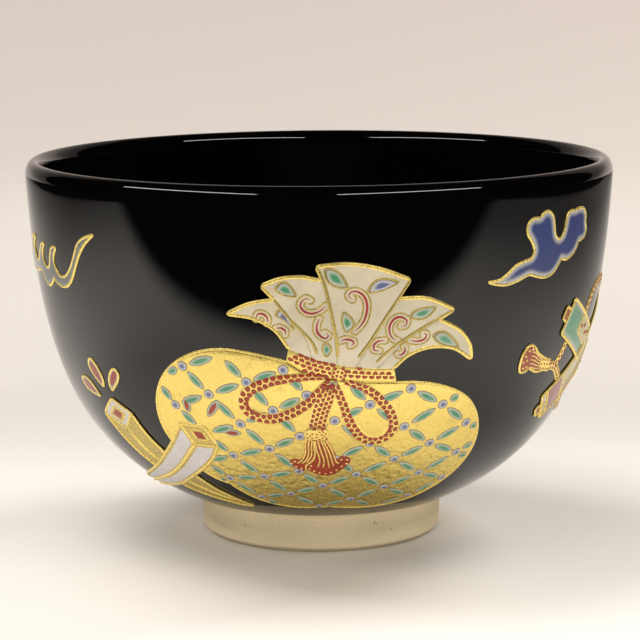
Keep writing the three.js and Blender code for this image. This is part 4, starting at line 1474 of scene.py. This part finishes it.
def braid(name, points, width, rows, lift, replaced=(), pitch=1.45, taper=(1, 1), gap=0.2):
    """A flat cord of gold with slanting red strands on it."""
    line, half = stroke(points, width)
    half = half * cord_taper(np.linspace(0, 1, len(line)), taper)
    strokes(f"{name}_gold", [(line, half)], lift, "gold_line", CORD_FLATNESS, 3, replaced)

    def cord_top(places):
        off = np.clip(distance_to(places, line, False) * 2 / width, 0, 0.98)
        return lift + width * CORD_FLATNESS * np.sqrt(1 - off**2) - CELL_SINK

    cells = braid_cells(points, width * 0.98, rows, pitch, taper, gap)
    beads(f"{name}_red", cells, "red", 0.12, cord_top, rings=3)


class TEABOWL_OT_cords(bpy.types.Operator):
    """Ties the braided cord round the bag's neck, with its two bow loops and its hanging tail"""

    bl_idname = "tea_bowl.cords"
    bl_label = "Bag cords"

    def execute(self, context):
        top = patch_top()
        self.neck_cord()
        braid("bow_left", BOW_LEFT, 2.6, 2, top, ("bag_bow_left",), taper=(0.5, 0.75))
        braid("bow_right", BOW_RIGHT, 2.4, 2, top, ("bag_bow_right",), taper=(0.7, 0.6))
        braid("cord_tail", CORD_TAIL, 3.7, 4, top + 0.1, ("bag_cord_tail",), 1.25, (0.6, 1))
        self.knot()
        return {"FINISHED"}

    @staticmethod
    def neck_cord():
        left, right = [NECK_BOTTOM[-1], NECK_TOP[0]], [NECK_TOP[-1], NECK_BOTTOM[0]]
        neck = [NECK_TOP, right, NECK_BOTTOM, left]
        patch("neck_gold", neck, "gold_line", ("bag_neck_cord",), height=0.3, spacing=0.7)
        upper, lower = (smooth(side, 0.5) for side in (NECK_TOP, NECK_BOTTOM[::-1]))
        share = np.linspace(0.01, 0.99, 14)
        upper, lower = (side[(share * (len(side) - 1)).astype(int)] for side in (upper, lower))
        neck_line = outline(neck)
        cells = braid_cells((upper + lower) / 2, 3.5, 4, 1.4)
        cells = [cell for cell in cells if inside(cell[0], neck_line).all()]
        beads("neck_red", cells, "red", 0.12, 0.25, rings=3)

    @staticmethod
    def knot():
        knot = ellipse((3.6, -33.6), 3.4, 3.0, -1.2, 24)
        beads("knot_gold", [(knot, about_centre(knot, 0.7))], "gold_line", 0.22, 0.26)
        cells = []
        for x in (-0.8, 0.8):
            cells += braid_cells([(4.1 + x, -32.4), (3.4 + x, -35)], 1.5, 2, 0.9)
        beads("knot_red", cells, "red", 0.1, 0.44, rings=3)


class TEABOWL_OT_tassel(bpy.types.Operator):
    """Hangs the bag's tassel: red strands between gold lines, over a dotted hem"""

    bl_idname = "tea_bowl.tassel"
    bl_label = "Bag tassel"

    def execute(self, context):
        top = patch_top()
        patch("tassel_red", TASSEL, "red", ("bag_tassel",), height=0.2, spacing=0.6, lift=top)
        strands = outline_strokes(STRANDS, 0.36) + [stroke(TASSEL_PARTING, 0.42)]
        strokes("tassel_strands", strands, top + 0.12, flatness=0.4)
        patch("tassel_head", TASSEL_HEAD, "gold_line", height=0.2, spacing=0.5, lift=top + 0.16)
        fine_dots("tassel_dots", HEM_DOTS, 0.34, "gold_line", 0.14, top + 0.16)
        fine_dots("tassel_head_dots", HEAD_DOTS, 0.25, "red", 0.1, top + 0.34)
        return {"FINISHED"}


class TEABOWL_OT_tusks(bpy.types.Operator):
    """Lays the crossed tusks, one crackled white and one dull gold, and the flame drops"""

    bl_idname = "tea_bowl.tusks"
    bl_label = "Tusks and drops"

    def execute(self, context):
        self.white_tusk(WHITE_TUSK_END)
        self.gold_tusk(GOLD_TUSK_END)
        for i, drop in enumerate(DROPS, 1):
            patch(f"drop_{i}", [drop], "red_halo", (f"red_drop_{i}",), spacing=0.5)
        strokes("drop_edges", outline_strokes(DROPS, 0.5), 0.1)
        return {"FINISHED"}

    @staticmethod
    def white_tusk(ends):
        """The gold-edged body, a crackled panel on each side of its ridge, and the square end."""
        back, front, ridge = WHITE_TUSK_BACK, WHITE_TUSK_FRONT, WHITE_TUSK_RIDGE
        under_left, under_right = [ends[3], ends[0]], [ends[2], ends[3]]
        body = [back, front, under_right, under_left]
        shape = {"height": 0.26, "spacing": 0.8, "lift": 0.06, "slot": "white_enamel"}
        patch("white_tusk_body", body, "matt_gold", ("white_tusk",), **shape)
        left = inset([back[:-1], ridge[::-1], under_left], TUSK_BORDER)
        right = inset([ridge, front[1:], under_right], TUSK_BORDER)
        for side, line in (("left", left), ("right", right)):
            overlay(f"white_tusk_panel_{side}", line, "white", height=0.1, lift=0.3)
        face = quad_runs(ends)
        shape = {"height": 0.3, "spacing": 0.6, "lift": 0.06}
        patch("white_tusk_face", face, "matt_gold", ("white_tusk_end",), **shape)
        core, rim = (quad_runs(shrunk(ends, share, (0.2, 0.1))) for share in (0.38, 0.5))
        overlay("white_tusk_core", core, "red", height=0.14, lift=0.3, spacing=0.5)
        lines = outline_strokes(rim, 0.4) + outline_strokes([back, front] + face, 0.7)
        lines.append(stroke(ridge, 0.95, ("round", "point")))
        strokes("white_tusk_lines", lines, 0.26)

    @staticmethod
    def gold_tusk(ends):
        """The root and the point beyond the white tusk, with ridge lines and a square end."""
        left, right = GOLD_TUSK_LEFT, GOLD_TUSK_RIGHT
        root = [left, [left[-1], right[0]], right, [ends[1], ends[2]], [ends[2], ends[3]]]
        patch("gold_tusk_body", root, "dull_gold", ("gold_tusk_root",), spacing=0.8)
        tip_left, tip_right = GOLD_POINT_LEFT, GOLD_POINT_RIGHT
        point = [tip_left, tip_right, [tip_right[-1], tip_left[0]]]
        patch("gold_tusk_tip", point, "dull_gold", ("gold_tusk_point",), spacing=0.8)
        face = quad_runs(ends)
        patch("gold_tusk_face", face, "white", ("gold_tusk_end",), spacing=0.6)
        square, core = (quad_runs(shrunk(ends, share, (0, -0.1))) for share in (0.56, 0.38))
        overlay("gold_tusk_square", square, "matt_gold", spacing=0.5)
        overlay("gold_tusk_core", core, "red", lift=0.26, spacing=0.5)
        cover, edges = outline(white_tusk_outline()), (left, right, tip_left, tip_right)
        sides = [part for run in edges for part in clear_of(run, cover)]
        lines = outline_strokes(sides) + outline_strokes(face, 0.55) + outline_strokes(square, 0.34)
        ridges = [
            [(u + du, v + dv) for u, v in ridge]
            for ridge in (GOLD_TUSK_RIDGE, GOLD_POINT_RIDGE)
            for du, dv in ((0, 0), (0.8, 0.3))
        ]
        lines += outline_strokes(ridges, sizes().fine_width / MM * 1.1, "point")
        strokes("gold_tusk_lines", lines, 0.22)


class TEABOWL_OT_clouds(bpy.types.Operator):
    """Sets the pale curled clouds and the blue forked clouds round the bowl, edged in gold"""

    bl_idname = "tea_bowl.clouds"
    bl_label = "Clouds"

    def execute(self, context):
        for name, runs, du, finish in (
            ("curled_cloud_left", CURLED_CLOUD, 0, "cloud_pale"),
            ("forked_cloud_right", FORKED_CLOUD, 0, "cloud_blue"),
            ("forked_cloud_back", FORKED_CLOUD, 128, "cloud_blue"),
            ("curled_cloud_back", CURLED_CLOUD, 320, "cloud_pale"),
        ):
            moved = [[(u + du, v) for u, v in run] for run in runs]
            patch(f"{name}_enamel", moved, finish, (name,), spacing=0.55)
            strokes(f"{name}_edge", outline_strokes(moved), 0.08)
        return {"FINISHED"}


class TEABOWL_OT_scrolls(bpy.types.Operator):
    """Lays the two crossed scrolls with their knobs, bands, cord, swags and tassel"""

    bl_idname = "tea_bowl.scrolls"
    bl_label = "Scrolls"

    def execute(self, context):
        lines = self.falling(*FALLING_SCROLL) + self.rising(*RISING_SCROLL) + self.knobs()
        strokes("scroll_lines", lines, 0.2)
        braid("swag_upper", SWAG_UPPER, 2.0, 2, 0.05, ("scroll_swag_upper",), gap=0.6)
        braid("swag_lower", SWAG_LOWER, 2.0, 2, 0.05, ("scroll_swag_lower",), gap=0.6)
        braid("scroll_cord", SCROLL_CORD, 1.9, 2, 0.05, ("scroll_tassel_cord",), 1.2, gap=0.5)
        braid("scroll_cord_up", SCROLL_CORD_UP, 1.8, 2, 0.05, pitch=1.3, gap=0.5)
        self.tassel()
        return {"FINISHED"}

    @staticmethod
    def falling(start, angle):
        """Two green halves on both sides of the rising scroll, each with a dotted yellow field."""
        half, width = SCROLL_LENGTH / 2, SCROLL_WIDTH
        near = quad_runs(bar(start, angle, 0, half - 3.4, width))
        far = quad_runs(bar(start, angle, half + 4.8, SCROLL_LENGTH, width))
        for end, runs in (("near", near), ("far", far)):
            replaced = (f"scroll_falling_{end}_half",)
            patch(f"falling_scroll_{end}", runs, "brocade", replaced, spacing=0.7)
        lines = []
        for end, begin, stop, flip in (("near", 7.6, half - 3.8, 1), ("far", half + 5.2, 34.4, -1)):
            low, high = -0.7 * flip, 3.6 * flip
            field = [(begin, low), (stop, low), (stop, high), (begin, high)]
            runs = quad_runs([placed(start, angle, p) for p in field])
            overlay(f"falling_field_{end}", runs, "yellow", height=0.16)
            lines += outline_strokes(runs, 0.35)
            spots = [(begin + 1.6 + 2.1 * k, (1.2 + 0.9 * (k % 2)) * flip) for k in range(4)]
            spots = [placed(start, angle, p) for p in spots]
            fine_dots(f"falling_field_dots_{end}", spots, 0.5, "red", 0.16, 0.36)
        return lines + outline_strokes(near + far, 0.7)

    @staticmethod
    def rising(start, angle):
        """A yellow scroll with a rose band at both ends and a rose stripe between them."""
        whole = quad_runs(bar(start, angle, 0, SCROLL_LENGTH, SCROLL_WIDTH))
        patch("rising_scroll", whole, "yellow", ("scroll_rising",), spacing=0.8)
        lines = []
        for at in (5.5, 36.5):
            band = quad_runs(bar(start, angle, at - 3.2, at + 3.2, SCROLL_WIDTH))
            overlay(f"rising_band_{int(at)}", band, "rose")
            lines += outline_strokes(band, 0.5)
        stripe = quad_runs(bar(start, angle, 9.5, 32.5, 2.2, -2.6))
        overlay("rising_stripe", stripe, "rose")
        spots = [placed(start, angle, p) for p in ((0.9, 2.2), (41.1, -2.2))]
        fine_dots("rising_cap_spots", spots, 0.55, "white", 0.16, OVER_PATCH, 10)
        return lines + outline_strokes(stripe, 0.3) + outline_strokes(whole, 0.7)

    @staticmethod
    def knobs():
        length, lines = SCROLL_LENGTH, []
        for name, (start, angle) in (("falling", FALLING_SCROLL), ("rising", RISING_SCROLL)):
            for end, low, high in (("near", -KNOB, 0.0), ("far", length, length + KNOB)):
                runs = quad_runs(bar(start, angle, low, high, 2.8))
                replaced = (f"scroll_{name}_{end}_knob",)
                patch(f"{name}_{end}_knob", runs, "red", replaced, spacing=0.6)
                lines += outline_strokes(runs, 0.6)
        return lines

    @staticmethod
    def tassel():
        """Red strands between gold lines, a dotted hem, and a knotted gold neck."""
        patch("scroll_tassel_red", SCROLL_TASSEL, "red", ("scroll_tassel",), spacing=0.6)
        strands = [
            [(u, v + s * spread) for (u, v), spread in zip(SCROLL_STRAND, SCROLL_STRAND_SPREAD)]
            for s in np.linspace(-0.85, 0.85, 5)
        ]
        strokes("scroll_tassel_strands", outline_strokes(strands, 0.32), 0.18)
        neck = quad_runs(SCROLL_TASSEL_NECK)
        overlay("scroll_tassel_neck", neck, "gold_line", height=0.16, lift=0.12)
        columns, rows = (53.2, 54.3, 55.4, 56.5), (-35.2, -36.2, -37.2)
        spots = [(u, v - (u - 53) * 0.2) for u in columns for v in rows]
        fine_dots("scroll_tassel_knots", spots, 0.26, "red", 0.12, 0.26)
        fine_dots("scroll_tassel_dots", SCROLL_HEM_DOTS, 0.34, "gold_line", 0.15, OVER_PATCH)
        strokes("scroll_tassel_outline", outline_strokes(SCROLL_TASSEL[:3], 0.6), 0.15)


def drop_runs(tip, head, width):
    """A drop with its point at tip and its round end at head."""
    tip, head = np.array(tip), np.array(head)
    along = head - tip
    across = np.array([-along[1], along[0]]) / np.linalg.norm(along) * width / 2
    shares = ((0, 0), (0.4, 0.7), (0.75, 1), (1, 0), (0.75, -1), (0.4, -0.7), (0, 0))
    return [[tuple(tip + along * far + across * side) for far, side in shares]]


class TEABOWL_OT_mallet_and_jewels(bpy.types.Operator):
    """Lays the mallet and the three jewels on the back of the bowl"""

    bl_idname = "tea_bowl.mallet_and_jewels"
    bl_label = "Mallet and jewels"

    def execute(self, context):
        self.mallet(*MALLET)
        self.jewels(JEWEL_SIZE)
        return {"FINISHED"}

    @staticmethod
    def mallet(start, angle):
        length, width = MALLET_HEAD
        head = quad_runs(bar(start, angle, 0, length, width))
        patch("mallet_barrel", head, "gold_leaf", ("mallet_head",), spacing=0.9)
        lines = outline_strokes(head, 0.8)
        for at in (4.2, 22.8):
            band = quad_runs(bar(start, angle, at - 1.6, at + 1.6, width))
            overlay(f"mallet_band_{int(at)}", band, "rose", height=0.14, spacing=0.7)
            lines += outline_strokes(band, 0.45)
        middle, petals = np.array(placed(start, angle, (length / 2, 0))), []
        for k in range(6):
            turn = k * math.pi / 3
            way = np.array([math.cos(turn), math.sin(turn)])
            petals.append(leaf(middle + way * 1.3, middle + way * 6.0, 2.8, 0.55))
        beads("mallet_flower", petals, "green", 0.24, 0.22)
        beads("mallet_flower_eye", [dot(middle, 1.2, 0.55, 14)], "blue", 0.3, 0.22)
        handle = quad_runs(bar(MALLET_GRIP, angle - math.pi / 2, 2.2, 19, 4))
        patch("mallet_grip", handle, "red", ("mallet_handle",), spacing=0.8)
        strokes("mallet_lines", lines + outline_strokes(handle, 0.6), 0.2)

    @staticmethod
    def jewels(size):
        edges = []
        for side, ((u, v), finish, lift) in JEWELS.items():
            runs = drop_runs((u, v + size * 1.25), (u, v), size)
            patch(f"jewel_{side}_drop", runs, finish, (f"jewel_{side}",), spacing=0.8, lift=lift)
            edges += outline_strokes(runs, 0.8)
            reach = size * 0.36
            for level in (0.32, 0.5):
                high, low = v + size * level, v + size * (level - 0.1)
                crease = [(u - reach, high), (u, low), (u + reach, high)]
                edges.append(stroke(crease, 0.45, "point"))
        strokes("jewel_lines", edges, 0.2)


# ---- Floor, light and camera, in metres ----
PAPER_SIDE = 1.4
SWEEP_START = 0.7
SWEEP_RADIUS = 0.5
SWEEP_TOP = 1.6
MIRRORED_HEIGHT = 0.001
# The middle and far paper tones are darker: painted shade towards the back.
NEAR_PAPER = (0.90, 0.87, 0.82)
MIDDLE_PAPER_PAINTED_SHADE = (0.52, 0.49, 0.455)
FAR_PAPER_PAINTED_SHADE = (0.53, 0.47, 0.435)
# Painted shade that only the glaze mirrors, round the bowl.
PAINTED_REFLECTED_SHADE = (0.002, 0.002, 0.002)
LAMP_COLOUR = (1.0, 0.97, 0.94)
ROOM_COLOUR = (1.0, 0.96, 0.92, 1.0)
ROOM_STRENGTH = 0.1
LIGHTS_AIM = (0, 0, 0.05)
# Each light's azimuth and elevation in degrees, its distance, width and height, its power in watts,
# and whether the glaze mirrors it.
LIGHTS = {
    "top_light": (-120, 66, 1.2, 0.7, 0.7, 10.2, False),
    "left_soft_light": (-128, 30, 1.2, 0.6, 0.6, 4.2, False),
    "right_soft_light": (128, 40, 1.2, 0.6, 0.6, 12.4, False),
    "front_light": (0, 5, 0.9, 0.3, 0.3, 2.0, False),
    "left_strip": (-56, 37, 1.0, 0.95, 0.05, 2.4, True),
    "right_strip": (38, 37, 1.0, 0.95, 0.05, 2.4, True),
}
CAMERA_PLACE = (0.0, -0.48686, 0.12511)
CAMERA_LENS = 133.7
CAMERA_PITCH = -9.5486
CAMERA_ROLL = -0.4


def sheet(name, profile, side, material):
    """A sheet of the studio, from (y, z) points, as wide as two sides."""
    points = [(x, y, z) for y, z in profile for x in (-side, side)]
    faces = [(2 * i, 2 * i + 1, 2 * i + 3, 2 * i + 2) for i in range(len(profile) - 1)]
    piece = mesh_object(name, points, faces)
    shade_smooth(piece)
    piece.data.materials.append(material)
    return piece


def paper_material(name, mirrored):
    """Pale paper, with painted shade that darkens it to the back and to the right. The mirrored kind
    also has painted dark at its sides and front, and a painted shadow by the foot.
    """
    material, tree, shader = new_material(name, 0.9, specular=0.1)
    apart = tree.nodes.new("ShaderNodeSeparateXYZ")
    tree.links.new(object_coords(tree), apart.inputs[0])
    x, y = apart.outputs["X"], apart.outputs["Y"]
    # Painted shade: the paper darkens to the back and to the right.
    away = math_node(tree, "ADD", y, math_node(tree, "MULTIPLY", x, 0.35))
    tone = mix_node(tree, ramp_node(tree, y, -0.08, 0.14), NEAR_PAPER, MIDDLE_PAPER_PAINTED_SHADE)
    tone = mix_node(tree, ramp_node(tree, away, 0.3, 1.3), tone, FAR_PAPER_PAINTED_SHADE)
    if mirrored:
        # Painted shade that only the glaze mirrors: dark to the sides and front, with a painted
        # shadow by the foot.
        tone = mix_node(tree, share_free_of_painted_shade(tree, x, y), PAINTED_REFLECTED_SHADE, tone)
    tree.links.new(tone, shader.inputs["Base Color"])
    return material


def share_free_of_painted_shade(tree, x, y):
    """How much of the paper's own tone the glaze mirrors, the rest being painted dark: less to the
    sides, less by the foot where a painted shadow lies, and none in front.
    """
    aside = math_node(tree, "ABSOLUTE", math_node(tree, "ADD", x, 0.05))
    share = ramp_node(tree, aside, 0.10, 0.40, 1.0, 0.2)
    end = ramp_node(tree, math_node(tree, "ABSOLUTE", x), 0.40, 0.44, 1.0, 0.0)
    front = math_node(tree, "ADD", y, math_node(tree, "MULTIPLY", x, 0.1))
    open_front = ramp_node(tree, front, -0.155, -0.115)
    near = tree.nodes.new("ShaderNodeVectorMath")
    near.operation = "DISTANCE"
    tree.links.new(object_coords(tree), near.inputs[0])
    near.inputs[1].default_value = (0.0, -0.02, 0.0)
    # A painted shadow in front of the foot, which only the glaze mirrors.
    foot = ramp_node(tree, near.outputs["Value"], 0.008, 0.04, 0.25, 1.0)
    for part in (end, open_front, foot):
        share = math_node(tree, "MULTIPLY", share, part)
    return share


def area_light(name, azimuth, elevation, distance, width, height, power, mirrored):
    """A soft light that faces the bowl. Azimuth counts from the camera's side towards the right."""
    turn, rise = math.radians(azimuth), math.radians(elevation)
    flat = math.cos(rise)
    way = Vector((math.sin(turn) * flat, -math.cos(turn) * flat, math.sin(rise)))
    data = bpy.data.lights.new(name, "AREA")
    data.shape = "RECTANGLE"
    data.size, data.size_y = width, height
    data.energy = power
    data.color = LAMP_COLOUR
    lamp = bpy.data.objects.new(name, data)
    bpy.context.collection.objects.link(lamp)
    lamp.location = way * distance + Vector(LIGHTS_AIM)
    lamp.rotation_euler = way.to_track_quat("Z", "Y").to_euler()
    lamp.visible_glossy = mirrored


class TEABOWL_OT_stage(bpy.types.Operator):
    """Sets the pale sweep of paper, the soft lights, and the camera"""

    bl_idname = "tea_bowl.stage"
    bl_label = "Stage"

    def execute(self, context):
        self.paper()
        for name, values in LIGHTS.items():
            area_light(name, *values)
        self.room(context.scene)
        self.camera(context.scene)
        return {"FINISHED"}

    @staticmethod
    def paper():
        turn = np.linspace(0, math.pi / 2, 25)
        sweep_end = SWEEP_START + SWEEP_RADIUS
        sweep = [
            (SWEEP_START + SWEEP_RADIUS * math.sin(a), SWEEP_RADIUS * (1 - math.cos(a)))
            for a in turn
        ]
        profile = [(-PAPER_SIDE, 0), *sweep, (sweep_end, SWEEP_TOP)]
        sheet("paper_sweep", profile, PAPER_SIDE, paper_material("pale_paper", False))
        # A sheet that only the glaze sees, with painted shade at its sides and front and a painted
        # shadow by the foot.
        profile = [(-PAPER_SIDE, MIRRORED_HEIGHT), (SWEEP_START, MIRRORED_HEIGHT)]
        material = paper_material("mirrored_paper", True)
        mirrored = sheet("mirrored_paper", profile, PAPER_SIDE, material)
        mirrored.visible_camera = False
        mirrored.visible_diffuse = False
        mirrored.visible_shadow = False

    @staticmethod
    def room(scene):
        world = bpy.data.worlds.new("pale_room")
        world.use_nodes = True
        back = world.node_tree.nodes["Background"]
        back.inputs["Color"].default_value = ROOM_COLOUR
        back.inputs["Strength"].default_value = ROOM_STRENGTH
        world.cycles_visibility.glossy = False
        scene.world = world
        scene.view_settings.view_transform = "Standard"

    @staticmethod
    def camera(scene):
        data = bpy.data.cameras.new("camera")
        data.sensor_width = 36.0
        data.lens = CAMERA_LENS
        data.clip_start = 0.01
        camera = bpy.data.objects.new("camera", data)
        bpy.context.collection.objects.link(camera)
        camera.location = CAMERA_PLACE
        pitch = Matrix.Rotation(math.radians(90 + CAMERA_PITCH), 3, "X")
        aim = pitch @ Matrix.Rotation(math.radians(CAMERA_ROLL), 3, "Z")
        camera.rotation_euler = aim.to_euler()
        scene.camera = camera


class TEABOWL_PT_panel(bpy.types.Panel):
    """The tea bowl's pieces, sizes and colours"""

    bl_idname = "TEABOWL_PT_panel"
    bl_label = "Tea bowl"
    bl_space_type = "VIEW_3D"
    bl_region_type = "UI"
    bl_category = "Tea bowl"

    def draw(self, context):
        layout = self.layout
        for settings in (context.scene.tea_bowl_sizes, context.scene.tea_bowl_colours):
            for key in settings.__annotations__:
                layout.prop(settings, key)
        for operator in PIECES:
            layout.operator(operator.bl_idname)


PIECES = (
    TEABOWL_OT_clay,
    TEABOWL_OT_glaze,
    TEABOWL_OT_bag,
    TEABOWL_OT_pleats,
    TEABOWL_OT_cords,
    TEABOWL_OT_tassel,
    TEABOWL_OT_tusks,
    TEABOWL_OT_clouds,
    TEABOWL_OT_scrolls,
    TEABOWL_OT_mallet_and_jewels,
    TEABOWL_OT_stage,
)
CLASSES = (BowlSizes, BowlColours, *PIECES, TEABOWL_PT_panel)


def register():
    for cls in CLASSES:
        bpy.utils.register_class(cls)
    bpy.types.Scene.tea_bowl_sizes = PointerProperty(type=BowlSizes)
    bpy.types.Scene.tea_bowl_colours = PointerProperty(type=BowlColours)


def unregister():
    del bpy.types.Scene.tea_bowl_colours
    del bpy.types.Scene.tea_bowl_sizes
    for cls in reversed(CLASSES):
        bpy.utils.unregister_class(cls)


def main():
    register()
    mix_finishes()
    for operator in PIECES:
        getattr(bpy.ops.tea_bowl, operator.bl_idname.split(".")[1])()


if __name__ == "__main__":
    main()
